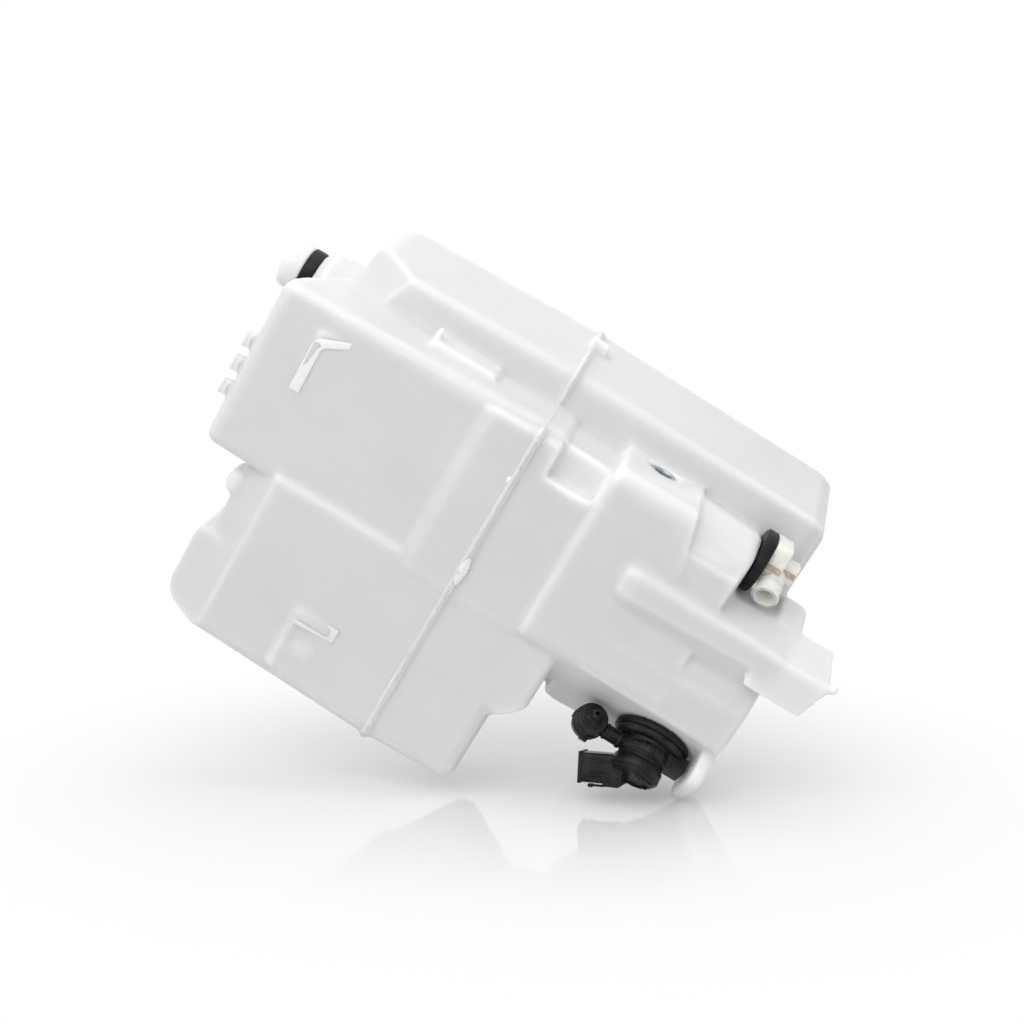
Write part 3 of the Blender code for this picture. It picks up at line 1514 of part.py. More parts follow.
def make_sensor():
    rubber = material("sensor_rubber", BLACK_RUBBER, 0.6)
    cream = material("sensor_cream_plastic", CREAM, 0.5)
    dark = material("stem_plastic", BLACK_PLASTIC, 0.5)
    brass = material("sensor_pin_brass", BRASS, 0.3, 1.0)
    foam = material("float_foam", FOAM, 0.9)
    ferrite = material("float_ferrite", FERRITE, 0.7)
    glass = material("reed_glass", CLEAR_GLASS, 0.1)
    sensor_grommet(rubber)
    sensor_body(cream)
    sensor_pin("sensor_pin_a", -1, brass)
    sensor_pin("sensor_pin_b", 1, brass)
    sensor_stem(dark)
    reed_switch(glass)
    level_float(foam)
    float_magnet(ferrite)
    float_stop(dark)


def main():
    clear_scene()
    tank(material("natural_polyethylene", NATURAL, 0.42))
    neck_seal(material("neck_rubber", BLACK_RUBBER, 0.55))
    ear_sleeve(material("sleeve_steel", STEEL, 0.3, 1.0))
    make_pump()
    make_sensor()


main()
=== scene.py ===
import json
import math

import bmesh
import bpy
import numpy as np
from mathutils import Matrix, Vector, noise
from mathutils.bvhtree import BVHTree


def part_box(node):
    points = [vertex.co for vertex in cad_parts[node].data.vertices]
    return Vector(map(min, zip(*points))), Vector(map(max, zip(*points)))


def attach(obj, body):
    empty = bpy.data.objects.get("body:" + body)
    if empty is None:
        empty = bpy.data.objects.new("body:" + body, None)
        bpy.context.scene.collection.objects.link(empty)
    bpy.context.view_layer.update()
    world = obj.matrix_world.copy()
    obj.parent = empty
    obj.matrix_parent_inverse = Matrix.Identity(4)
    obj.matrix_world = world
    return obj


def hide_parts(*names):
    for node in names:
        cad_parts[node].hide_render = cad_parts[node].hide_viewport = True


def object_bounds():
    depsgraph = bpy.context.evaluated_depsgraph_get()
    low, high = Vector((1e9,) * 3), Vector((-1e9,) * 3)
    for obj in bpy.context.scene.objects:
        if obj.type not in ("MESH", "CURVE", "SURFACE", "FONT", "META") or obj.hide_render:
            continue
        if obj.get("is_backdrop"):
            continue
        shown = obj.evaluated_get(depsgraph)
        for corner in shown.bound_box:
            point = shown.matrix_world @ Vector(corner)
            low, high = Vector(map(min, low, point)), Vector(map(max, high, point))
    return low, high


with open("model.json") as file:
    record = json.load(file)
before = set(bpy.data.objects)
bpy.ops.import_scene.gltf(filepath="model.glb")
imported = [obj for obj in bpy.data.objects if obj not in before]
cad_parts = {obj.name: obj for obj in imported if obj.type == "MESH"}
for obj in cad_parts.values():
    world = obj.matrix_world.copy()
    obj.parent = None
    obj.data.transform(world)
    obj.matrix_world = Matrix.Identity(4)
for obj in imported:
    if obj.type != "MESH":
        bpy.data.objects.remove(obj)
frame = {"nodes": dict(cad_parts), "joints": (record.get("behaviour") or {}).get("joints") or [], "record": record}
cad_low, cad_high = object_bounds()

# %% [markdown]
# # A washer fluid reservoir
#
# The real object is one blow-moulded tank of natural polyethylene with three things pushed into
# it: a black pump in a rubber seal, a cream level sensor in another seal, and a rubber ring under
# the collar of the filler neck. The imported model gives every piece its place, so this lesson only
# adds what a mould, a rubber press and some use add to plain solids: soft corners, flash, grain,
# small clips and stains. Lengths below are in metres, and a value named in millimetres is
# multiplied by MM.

MM = 0.001
nodes = frame["nodes"]
print("nodes:", len(nodes), "size in mm:", [round(v / MM, 1) for v in cad_high - cad_low])

# %% [markdown]
# ## The camera
#
# The photograph shows the tank rolled onto its side: the filler neck points to the upper left. The
# model stands upright, so the camera rolls instead, by 59 degrees. It looks from 18 degrees round to
# the right of the open front, level with the middle of the tank, from about a metre away. Three
# directions describe it: the picture's right, its top, and back towards the photographer.

# %% Place the camera
TURN = math.radians(18)
ROLL = math.radians(59.2)
DISTANCE = 1.044
level_right = Vector((math.cos(TURN), math.sin(TURN), 0))
picture_back = Vector((math.sin(TURN), -math.cos(TURN), 0))
plumb = Vector((0, 0, 1))
picture_right = level_right * math.cos(ROLL) - plumb * math.sin(ROLL)
picture_up = level_right * math.sin(ROLL) + plumb * math.cos(ROLL)
middle = Vector((-71.63, 16.0, 78.31)) * MM

lens = bpy.data.cameras.new("camera")
lens.lens = 63.3
lens.sensor_width = 36.0
lens.clip_start = 0.05
camera = bpy.data.objects.new("camera", lens)
bpy.context.scene.collection.objects.link(camera)
stance = Matrix((picture_right, picture_up, picture_back)).transposed().to_4x4()
stance.translation = middle + picture_back * DISTANCE
camera.matrix_world = stance
bpy.context.scene.camera = camera
bpy.context.scene.view_settings.view_transform = 'Standard'
print("camera stands at", [round(v, 3) for v in stance.translation])

# %% [markdown]
# ## Studio light
#
# A white plastic part is lit by a tent: light comes from everywhere, with a little more of it from
# the picture's top. The world gives the even part. Four large lamps give the rest, over the
# object, over the camera, at the upper left and behind. Rays from the camera, and rays that were
# mirrored or passed through glass, see plain white instead of the world's light level, which keeps
# the background white without more light on the object.

# %% The world
TENT = 0.66


def add_node(tree, kind, **settings):
    """A new shader node with its settings."""
    node = tree.nodes.new(kind)
    for setting, value in settings.items():
        setattr(node, setting, value)
    return node


def white_when_seen(tree, level):
    """A strength of 1 for camera, mirror and clear rays, and a lower level for all others."""
    rays = add_node(tree, "ShaderNodeLightPath")
    direct = add_node(tree, "ShaderNodeMath", operation='MAXIMUM')
    tree.links.new(rays.outputs["Is Camera Ray"], direct.inputs[0])
    tree.links.new(rays.outputs["Is Glossy Ray"], direct.inputs[1])
    seen = add_node(tree, "ShaderNodeMath", operation='MAXIMUM')
    tree.links.new(direct.outputs[0], seen.inputs[0])
    tree.links.new(rays.outputs["Is Transmission Ray"], seen.inputs[1])
    strength = add_node(tree, "ShaderNodeMapRange")
    tree.links.new(seen.outputs[0], strength.inputs["Value"])
    strength.inputs["To Min"].default_value = level
    strength.inputs["To Max"].default_value = 1.0
    return strength.outputs["Result"]


world = bpy.data.worlds.new("tent")
world.use_nodes = True
bpy.context.scene.world = world
tree = world.node_tree
tree.nodes.clear()
cloth = add_node(tree, "ShaderNodeBackground")
cloth.inputs["Color"].default_value = (1, 1, 1, 1)
tree.links.new(white_when_seen(tree, TENT), cloth.inputs["Strength"])
sky = add_node(tree, "ShaderNodeOutputWorld")
tree.links.new(cloth.outputs[0], sky.inputs[0])
print("tent level:", TENT)

# %% The lamps


def lamp(name, place, size, power):
    """A square soft box that faces the middle of the object."""
    light = bpy.data.lights.new(name, 'AREA')
    light.shape = 'SQUARE'
    light.size = size
    light.energy = power
    holder = bpy.data.objects.new(name, light)
    bpy.context.scene.collection.objects.link(holder)
    holder.rotation_mode = 'QUATERNION'
    holder.location = middle + place
    holder.rotation_quaternion = (-place).to_track_quat('-Z', 'Y')
    return holder


lamp("top_box", picture_up * 1.1 + picture_right * 0.2 + picture_back * 0.2, 1.1, 4.3)
lamp("camera_box", picture_back * 1.3 + picture_up * 0.6, 0.9, 5.0)
lamp("left_box", picture_up * 0.6 - picture_right * 0.7 + picture_back * 0.9, 0.9, 3.6)
lamp("back_box", -picture_back * 1.2 + picture_up * 0.6, 0.9, 1.4)
print("lamps:", len(bpy.data.lights))

# %% [markdown]
# ## The floor
#
# The object lies on a white table that the camera looks along at a low angle. The table is a plain
# sheet that touches the lowest point of the tank in the picture. Its paint mixes a matt white, which
# takes the shadow, with a faint mirror that shows the pump upside down. The mirror dies away first,
# and further out the table turns into the plain white of the background, so that it has no visible
# end. Seen from below it is clear, so that it hides nothing in other views.

# %% Make the table
LOOK_DOWN = math.radians(8)
TABLE_REACH = 3.0
floor_normal = picture_up * math.cos(LOOK_DOWN) + picture_back * math.sin(LOOK_DOWN)
lowest = min(floor_normal.dot(v.co) for node in nodes.values() for v in node.data.vertices)
bm = bmesh.new()
bmesh.ops.create_grid(bm, x_segments=1, y_segments=1, size=TABLE_REACH)
lay = floor_normal.to_track_quat('Z', 'X').to_matrix().to_4x4()
foot_point = middle + floor_normal * (lowest - floor_normal.dot(middle))
lay.translation = foot_point
bmesh.ops.transform(bm, matrix=lay, verts=bm.verts)
table_mesh = bpy.data.meshes.new("table")
bm.to_mesh(table_mesh)
bm.free()
table = bpy.data.objects.new("table", table_mesh)
bpy.context.scene.collection.objects.link(table)
table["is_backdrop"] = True
print("table touches", [round(v / MM) for v in foot_point])

# %% Paint the table
TABLE_SHADE = 0.79
TABLE_GLOW = 0.05
TABLE_SHEEN = 0.15
MIRROR_BLUR = 0.07
SHEEN_REACH = (0.04, 0.26)
WHITE_REACH = (0.08, 0.38)


def blend(tree, share, under, over):
    """Mixes two shaders by a share from 0 to 1."""
    mix = add_node(tree, "ShaderNodeMixShader")
    tree.links.new(share, mix.inputs[0])
    tree.links.new(under.outputs[0], mix.inputs[1])
    tree.links.new(over.outputs[0], mix.inputs[2])
    return mix


def over_distance(tree, distance, reach, start, end):
    """A value that goes softly from one level to another between two distances."""
    change = add_node(tree, "ShaderNodeMapRange", interpolation_type='SMOOTHSTEP')
    change.inputs["From Min"].default_value = reach[0]
    change.inputs["From Max"].default_value = reach[1]
    change.inputs["To Min"].default_value = start
    change.inputs["To Max"].default_value = end
    tree.links.new(distance, change.inputs["Value"])
    return change.outputs["Result"]


paint = bpy.data.materials.new("table_white")
paint.use_nodes = True
tree = paint.node_tree
tree.nodes.clear()
matt = add_node(tree, "ShaderNodeBsdfDiffuse")
matt.inputs["Color"].default_value = (TABLE_SHADE, TABLE_SHADE, TABLE_SHADE, 1)
glow = add_node(tree, "ShaderNodeEmission")
glow.inputs["Strength"].default_value = TABLE_GLOW
lit = add_node(tree, "ShaderNodeAddShader")
tree.links.new(matt.outputs[0], lit.inputs[0])
tree.links.new(glow.outputs[0], lit.inputs[1])
mirror = add_node(tree, "ShaderNodeBsdfGlossy")
mirror.inputs["Roughness"].default_value = MIRROR_BLUR
horizon = add_node(tree, "ShaderNodeEmission")
tree.links.new(white_when_seen(tree, TENT), horizon.inputs["Strength"])
spot = add_node(tree, "ShaderNodeTexCoord")
away = add_node(tree, "ShaderNodeVectorMath", operation='DISTANCE')
tree.links.new(spot.outputs["Object"], away.inputs[0])
away.inputs[1].default_value = foot_point
shine = over_distance(tree, away.outputs["Value"], SHEEN_REACH, TABLE_SHEEN, 0.0)
whiteness = over_distance(tree, away.outputs["Value"], WHITE_REACH, 0.0, 1.0)
polished = blend(tree, shine, lit, mirror)
faded = blend(tree, whiteness, polished, horizon)
clear = add_node(tree, "ShaderNodeBsdfTransparent")
side = add_node(tree, "ShaderNodeNewGeometry")
one_sided = blend(tree, side.outputs["Backfacing"], faded, clear)
end = add_node(tree, "ShaderNodeOutputMaterial")
tree.links.new(one_sided.outputs[0], end.inputs["Surface"])
table_mesh.materials.append(paint)
print("table is white again from", WHITE_REACH[1], "m")

# %% [markdown]
# ## Natural polyethylene
#
# The tank is unpigmented polyethylene: milky, slightly waxy, and a few millimetres thick, so light
# spreads inside the wall and softens every edge. Subsurface scattering gives that. The mould
# leaves a faint unevenness in the skin, so a large slow noise and a small fine one bend the gloss.
# Corners get a painted highlight, paler than the walls, by the "corner" value of the skin's
# points, and dirt has settled beside the ridge at the parting line.

# %% The tank's plastic
WALL_SHADE = (0.735, 0.737, 0.742)


def finish_of(name, colour, roughness, metallic=0.0):
    """A new material with its Principled shader."""
    finish = bpy.data.materials.new(name)
    finish.use_nodes = True
    shader = finish.node_tree.nodes["Principled BSDF"]
    shader.inputs["Base Color"].default_value = (*colour, 1.0)
    shader.inputs["Roughness"].default_value = roughness
    shader.inputs["Metallic"].default_value = metallic
    finish.diffuse_color = (*colour, 1.0)
    return finish, finish.node_tree, shader


polyethylene, tree, shader = finish_of("natural_polyethylene", WALL_SHADE, 0.42)
shader.inputs["Subsurface Weight"].default_value = 0.75
shader.inputs["Subsurface Radius"].default_value = (1.0, 1.0, 1.0)
shader.inputs["Subsurface Scale"].default_value = 0.008
shader.inputs["IOR"].default_value = 1.45
shader.inputs["Specular IOR Level"].default_value = 0.35
print("plastic:", polyethylene.name)

# %% Drifting milkiness and painted highlights on corners
HIGHLIGHT_SHADE = (0.90, 0.90, 0.90)


def coordinates(tree):
    """Places on the object in metres, as packed."""
    return tree.nodes.new("ShaderNodeTexCoord").outputs["Object"]


def noise_texture(tree, scale, detail, roughness=0.5):
    """A noise pattern fixed to the object, with its scale in waves per metre."""
    texture = tree.nodes.new("ShaderNodeTexNoise")
    texture.inputs["Scale"].default_value = scale
    texture.inputs["Detail"].default_value = detail
    texture.inputs["Roughness"].default_value = roughness
    tree.links.new(coordinates(tree), texture.inputs["Vector"])
    return texture.outputs["Fac"]


def ramp(tree, value, stops):
    """A colour ramp over a value, from (position, colour) stops."""
    shades = tree.nodes.new("ShaderNodeValToRGB")
    while len(shades.color_ramp.elements) < len(stops):
        shades.color_ramp.elements.new(0.5)
    for element, (position, colour) in zip(shades.color_ramp.elements, stops):
        element.position = position
        element.color = (*colour, 1.0)
    tree.links.new(value, shades.inputs["Fac"])
    return shades.outputs["Color"]


def towards(tree, share, under, over):
    """A colour that goes from what is under it to a plain colour by a share."""
    mix = add_node(tree, "ShaderNodeMix", data_type='RGBA')
    tree.links.new(share, mix.inputs["Factor"])
    tree.links.new(under, mix.inputs[6])
    mix.inputs[7].default_value = (*over, 1.0)
    return mix.outputs[2]


milk = ramp(
    tree,
    noise_texture(tree, 16.0, 4.0, 0.6),
    [(0.35, (0.715, 0.718, 0.725)), (0.65, (0.755, 0.755, 0.757))],
)
# Painted highlight: each point of the skin is painted paler by its "corner" value.
corner = add_node(tree, "ShaderNodeAttribute", attribute_name="corner")
highlighted = towards(tree, corner.outputs["Fac"], milk, HIGHLIGHT_SHADE)
print("colour nodes:", len(tree.nodes))

# %% Dirt beside the parting line
SEAM_DIRT = (0.50, 0.43, 0.33)
PARTING = 86.5 * MM
DIRT_START = 2.6 * MM
DIRT_FULL = 1.2 * MM
height = add_node(tree, "ShaderNodeSeparateXYZ")
tree.links.new(coordinates(tree), height.inputs[0])
from_seam = add_node(tree, "ShaderNodeMath", operation='SUBTRACT')
tree.links.new(height.outputs["Z"], from_seam.inputs[0])
from_seam.inputs[1].default_value = PARTING
beside_seam = add_node(tree, "ShaderNodeMath", operation='ABSOLUTE')
tree.links.new(from_seam.outputs[0], beside_seam.inputs[0])
near_seam = add_node(tree, "ShaderNodeMapRange")
near_seam.inputs["From Min"].default_value = DIRT_START
near_seam.inputs["From Max"].default_value = DIRT_FULL
tree.links.new(beside_seam.outputs[0], near_seam.inputs["Value"])
specks = add_node(tree, "ShaderNodeMapRange")
specks.inputs["From Min"].default_value = 0.62
specks.inputs["From Max"].default_value = 0.70
specks.inputs["To Max"].default_value = 0.55
tree.links.new(noise_texture(tree, 190.0, 3.0, 0.65), specks.inputs["Value"])
dirt = add_node(tree, "ShaderNodeMath", operation='MULTIPLY')
tree.links.new(near_seam.outputs["Result"], dirt.inputs[0])
tree.links.new(specks.outputs["Result"], dirt.inputs[1])
stained = towards(tree, dirt.outputs[0], highlighted, SEAM_DIRT)
tree.links.new(stained, shader.inputs["Base Color"])
print("parting line at", PARTING, "m")

# %% Unevenness of the mould


def bumps(tree, shader, layers):
    """Stacks bump layers, each a (height, strength, depth in metres), onto a shader's normal."""
    normal = None
    for height, strength, depth in layers:
        bump = tree.nodes.new("ShaderNodeBump")
        bump.inputs["Strength"].default_value = strength
        bump.inputs["Distance"].default_value = depth
        tree.links.new(height, bump.inputs["Height"])
        if normal is not None:
            tree.links.new(normal, bump.inputs["Normal"])
        normal = bump.outputs["Normal"]
    tree.links.new(normal, shader.inputs["Normal"])


bumps(
    tree,
    shader,
    [
        (noise_texture(tree, 38.0, 2.0), 0.45, 0.0009),
        (noise_texture(tree, 900.0, 2.0), 0.10, 0.00012),
    ],
)
print("nodes of the tank's plastic:", len(tree.nodes))

# %% [markdown]
# ## The tank's skin
#
# The solid model of the tank is built from blocks, and its inner corners are sharp. A blown tank
# has none: the plastic bridges every corner with a small radius. The skin is made from a copy of
# the imported tank with its real walls. A voxel remesh turns the copy into small even quads, and
# smoothing then rounds what was sharp, except at the neck, the ports and the ridge where the two
# mould halves met. Each point then learns how far it stands out, and corners get a painted
# highlight by it. Flat walls need few faces, so the mesh is thinned out where it is flat.

# %% Remesh a copy of the tank
SKIN_GRAIN = 1.6 * MM


def link(name, bm):
    """Writes a bmesh into a new object at the origin."""
    mesh = bpy.data.meshes.new(name)
    bm.to_mesh(mesh)
    bm.free()
    piece = bpy.data.objects.new(name, mesh)
    bpy.context.scene.collection.objects.link(piece)
    return piece


def settle(piece):
    """Replaces a piece's mesh by what its modifiers make of it."""
    shaped = piece.evaluated_get(bpy.context.evaluated_depsgraph_get())
    piece.data = bpy.data.meshes.new_from_object(shaped)
    piece.modifiers.clear()
    return piece


bm = bmesh.new()
bm.from_mesh(nodes["tank"].data)
bmesh.ops.remove_doubles(bm, verts=bm.verts, dist=1e-6)
skin = link("tank_skin", bm)
grain = skin.modifiers.new("grain", 'REMESH')
grain.mode = 'VOXEL'
grain.voxel_size = SKIN_GRAIN
settle(skin)
print("skin quads:", len(skin.data.polygons))

# %% Round its corners
SMOOTHINGS = 3
RIDGE_HALF = 3.3 * MM
NECK = Vector((-24.0, 66.0, 0)) * MM
NECK_RADIUS = 21.5 * MM
NECK_FOOT = 227.0 * MM
joints = {joint["name"]: joint for joint in frame["joints"]}
pump_seat = Vector(joints["rotor_spin"]["pos_m"])
pump_out = Vector(joints["rotor_spin"]["axis"]).normalized()
disc_low, disc_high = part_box("sensor_grommet")
sensor_seat = (disc_low + disc_high) / 2
sleeve_low, sleeve_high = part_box("ear_sleeve")
sleeve_middle = (sleeve_low + sleeve_high) / 2
CRISP_RIMS = [(pump_seat, 21 * MM), (sensor_seat, 16 * MM), (sleeve_middle, 11 * MM)]


def keeps_its_edge(point):
    """True where the real tank is crisp: the ridge, the neck and the rims of its holes."""
    on_ridge = abs(point.z - PARTING) < RIDGE_HALF
    flat = Vector((point.x, point.y, 0))
    on_neck = (flat - NECK).length < NECK_RADIUS and point.z > NECK_FOOT
    at_rim = any((point - rim).length < radius for rim, radius in CRISP_RIMS)
    return on_ridge or on_neck or at_rim


bm = bmesh.new()
bm.from_mesh(skin.data)
soft = [vert for vert in bm.verts if not keeps_its_edge(vert.co)]
for step in range(SMOOTHINGS):
    bmesh.ops.smooth_vert(
        bm, verts=soft, factor=0.5, use_axis_x=True, use_axis_y=True, use_axis_z=True
    )
bm.to_mesh(skin.data)
bm.free()
print("points smoothed:", len(soft))

# %% Mark the corners for a painted highlight
CORNER_RISE = 0.22 * MM
CORNER_SPREAD = 2
# Painted light: at these places the skin is painted paler, as if lit through its wall.
PAINTED_LIGHT_PLACES = [
    ((-17.0, -36.0, 58.0), (12.0, 12.0, 17.0), 0.9),
    ((-12.0, -12.0, -20.0), (14.0, 26.0, 26.0), 0.75),
]


def paint_corner_highlights(piece):
    """Stores how far each point stands out of its neighbours, from 0 to 1, as "corner", the strength of its
    painted highlight, raised at the places of painted light.
    """
    mesh = piece.data
    count = len(mesh.vertices)
    points = np.empty(count * 3)
    mesh.vertices.foreach_get("co", points)
    points = points.reshape(-1, 3)
    normals = np.empty(count * 3)
    mesh.vertices.foreach_get("normal", normals)
    normals = normals.reshape(-1, 3)
    ends = np.empty(len(mesh.edges) * 2, dtype=int)
    mesh.edges.foreach_get("vertices", ends)
    first, second = ends.reshape(-1, 2).T
    edges_at = np.bincount(first, minlength=count) + np.bincount(second, minlength=count)
    edges_at = np.maximum(edges_at, 1)

    def mean_around(values):
        total = np.bincount(first, values[second], count) + np.bincount(second, values[first], count)
        return total / edges_at

    middle_of = np.stack([mean_around(points[:, axis]) for axis in range(3)], axis=1)
    rise = ((points - middle_of) * normals).sum(axis=1)
    level = np.clip(rise / CORNER_RISE, 0, 1)
    for step in range(CORNER_SPREAD):
        level = (level + mean_around(level)) / 2
    for place, reach, strength in PAINTED_LIGHT_PLACES:
        away = np.linalg.norm((points - np.array(place) * MM) / (np.array(reach) * MM), axis=1)
        level = np.maximum(level, strength * np.clip((1.25 - away) * 4, 0, 1))
    attribute = mesh.attributes.new("corner", 'FLOAT', 'POINT')
    attribute.data.foreach_set("value", level)
    print(piece.name, "corner points:", int((level > 0.3).sum()), "of", count)


paint_corner_highlights(skin)

# %% Thin out the flat walls
MOST_TRIANGLES = 185000
triangles = sum(len(face.vertices) - 2 for face in skin.data.polygons)
thin = skin.modifiers.new("thin", 'DECIMATE')
thin.ratio = min(1.0, MOST_TRIANGLES / triangles)
settle(skin)
skin.data.shade_smooth()
skin.data.materials.clear()
skin.data.materials.append(polyethylene)
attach(skin, "reservoir")
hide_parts("tank")
print("skin faces left:", len(skin.data.polygons))

# %% [markdown]
# ## Black plastic, rubber, metal and the rest
#
# The pump is moulded in black filled plastic: satin, a little greyer where tools and hands have
# rubbed it. The seals are softer and darker. The hidden pieces of the motor are steel, copper and
# ferrite. Every finish drifts between two shades and two gloss levels, so that no face is flat.
# Small solid pieces of the tank's plastic let less light wander inside them than its thin walls do,
# so they have a finish of their own with little scattering.

# %% Mix the finishes


def mottled(name, dark, light, scale, gloss, grain, metallic=0.0):
    """A finish that drifts between two shades and two roughness values, with a fine grain."""
    finish, tree, shader = finish_of(name, light, gloss[1], metallic)
    drift = noise_texture(tree, scale, 4.0, 0.6)
    tree.links.new(ramp(tree, drift, [(0.35, dark), (0.65, light)]), shader.inputs["Base Color"])
    polish = add_node(tree, "ShaderNodeMapRange")
    polish.inputs["To Min"].default_value = gloss[0]
    polish.inputs["To Max"].default_value = gloss[1]
    tree.links.new(noise_texture(tree, scale * 2.5, 3.0), polish.inputs["Value"])
    tree.links.new(polish.outputs["Result"], shader.inputs["Roughness"])
    bumps(tree, shader, [(noise_texture(tree, scale * 16, 2.0), 0.35, grain)])
    return finish


FINISHES = {
    "black_plastic": mottled(
        "black_plastic", (0.0015, 0.0015, 0.002), (0.022, 0.022, 0.024), 85, (0.24, 0.44), 4e-5
    ),
    "black_rubber": mottled(
        "black_rubber", (0.001, 0.001, 0.0012), (0.010, 0.010, 0.011), 110, (0.30, 0.56), 5e-5
    ),
    "steel": mottled("steel", (0.40, 0.46, 0.48), (0.62, 0.66, 0.67), 260, (0.25, 0.42), 2e-5, 1.0),
    "pin_brass": mottled(
        "pin_brass", (0.55, 0.40, 0.18), (0.80, 0.62, 0.34), 300, (0.22, 0.38), 2e-5, 1.0
    ),
    "copper": mottled("copper", (0.48, 0.20, 0.10), (0.72, 0.36, 0.20), 300, (0.25, 0.42), 2e-5, 1.0),
    "dark_ferrite": mottled(
        "dark_ferrite", (0.045, 0.045, 0.05), (0.10, 0.10, 0.105), 400, (0.55, 0.75), 6e-5
    ),
    "cream_plastic": mottled(
        "cream_plastic", (0.80, 0.785, 0.73), (0.88, 0.87, 0.83), 90, (0.34, 0.50), 3e-5
    ),
    "float_foam": mottled(
        "float_foam", (0.03, 0.03, 0.034), (0.085, 0.085, 0.09), 500, (0.75, 0.9), 2e-4
    ),
}
print("drifting finishes:", len(FINISHES))

# %% Tune the blacks and the cream, and add glass and solid plastic
BLACK_GLOSS = 0.22
for name in ("black_plastic", "black_rubber"):
    dull = FINISHES[name].node_tree.nodes["Principled BSDF"]
    dull.inputs["Specular IOR Level"].default_value = BLACK_GLOSS
cream = FINISHES["cream_plastic"].node_tree.nodes["Principled BSDF"]
cream.inputs["Subsurface Weight"].default_value = 0.5
cream.inputs["Subsurface Radius"].default_value = (1.0, 0.8, 0.55)
cream.inputs["Subsurface Scale"].default_value = 0.004
glass, tree, shader = finish_of("clear_glass", (0.80, 0.86, 0.84), 0.05)
shader.inputs["Transmission Weight"].default_value = 0.9
shader.inputs["IOR"].default_value = 1.5
bumps(tree, shader, [(noise_texture(tree, 600, 2.0), 0.2, 2e-5)])
cloud = noise_texture(tree, 200, 2.0)
tint = ramp(tree, cloud, [(0.4, (0.74, 0.82, 0.80)), (0.6, (0.84, 0.90, 0.88))])
tree.links.new(tint, shader.inputs["Base Color"])
FINISHES["clear_glass"] = glass
FINISHES["natural_polyethylene"] = polyethylene
solid_polyethylene = polyethylene.copy()
solid_polyethylene.name = "solid_polyethylene"
solid = solid_polyethylene.node_tree.nodes["Principled BSDF"]
solid.inputs["Subsurface Weight"].default_value = 0.1
solid.inputs["Subsurface Scale"].default_value = 0.0015
print("finishes:", len(FINISHES))

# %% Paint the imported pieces
slot_of = {row["node"]: row["material_slot"] for row in frame["record"]["subparts"]}
body_of = {}
for body, members in frame["record"]["behaviour"]["bodies"].items():
    body_of.update({member: body for member in members})
for name, node in nodes.items():
    for layer in node.material_slots:
        layer.material = FINISHES[slot_of[name]]
print("nodes painted:", len(nodes))

# %% [markdown]
# ## Soft edges on moulded and pressed pieces
#
# No moulded edge is sharp. Each outer piece of the pump, the sensor and the seals is copied, its
# flat faces are joined again, and its edges get a radius of a few tenths of a millimetre. The
# small bright line that such a radius catches is what makes black plastic readable.

# %% Round the edges of the outer pieces
SHARP = math.radians(32)
CREASE = math.radians(44)
FLAT = math.radians(0.5)


def finish_piece(piece, finish, body):
    """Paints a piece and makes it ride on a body."""
    piece.data.materials.clear()
    piece.data.materials.append(finish)
    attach(piece, body)
    return piece


def soften(piece, width, segments=2):
    """Gives the sharp edges of a piece a radius and keeps its flat faces flat."""
    rounding = piece.modifiers.new("rounding", 'BEVEL')
    rounding.width = width
    rounding.segments = segments
    rounding.limit_method = 'ANGLE'
    rounding.angle_limit = SHARP
    settle(piece)
    piece.data.shade_smooth()
    piece.data.set_sharp_from_angle(angle=CREASE)
    return piece


def softened_copy(name, width):
    """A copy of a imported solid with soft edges, which stands for it."""
    bm = bmesh.new()
    bm.from_mesh(nodes[name].data)
    bmesh.ops.remove_doubles(bm, verts=bm.verts, dist=1e-6)
    bmesh.ops.dissolve_limit(bm, angle_limit=FLAT, verts=bm.verts, edges=bm.edges)
    bmesh.ops.recalc_face_normals(bm, faces=bm.faces)
    piece = soften(link(name + "_skin", bm), width)
    finish_piece(piece, FINISHES[slot_of[name]], body_of[name])
    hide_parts(name)
    return piece


EDGE_WIDTHS = {
    "pump_housing": 0.30,
    "pump_cap": 0.35,
    "pump_grommet": 0.40,
    "valve_cap": 0.25,
    "sensor_body": 0.45,
    "sensor_grommet": 0.50,
    "neck_seal": 0.40,
    "ear_sleeve": 0.25,
}
for name, width in EDGE_WIDTHS.items():
    piece = softened_copy(name, width * MM)
    print(piece.name, len(piece.data.polygons))

# %% [markdown]
# ## Fittings moulded on the pump
#
# Close up, the pump isn't plain: bands stand round its body on both sides of the joint between
# body and cap, a raised window frame and two guide ribs stop it from turning in its holder, a
# screw boss sits on its end, ribs and a latch stiffen the connector, and rings hold the valve
# together. Turned pieces are spun from a profile, and the rest are bars with soft edges.

# %% The pump's own directions
upward = Vector((0, 0, 1))


def frame_at(place, along, up):
    """A matrix whose Z follows one direction and whose X lies nearest to another."""
    along = along.normalized()
    first = (up - along * up.dot(along)).normalized()
    second = along.cross(first)
    stance = Matrix((first, second, along)).transposed().to_4x4()
    stance.translation = place
    return stance


pump_frame = frame_at(pump_seat, pump_out, upward)
print("the pump points to", [round(v, 3) for v in pump_out])

# %% Bands round the body
BODY = 14.0
FITTING_CREASE = math.radians(50)


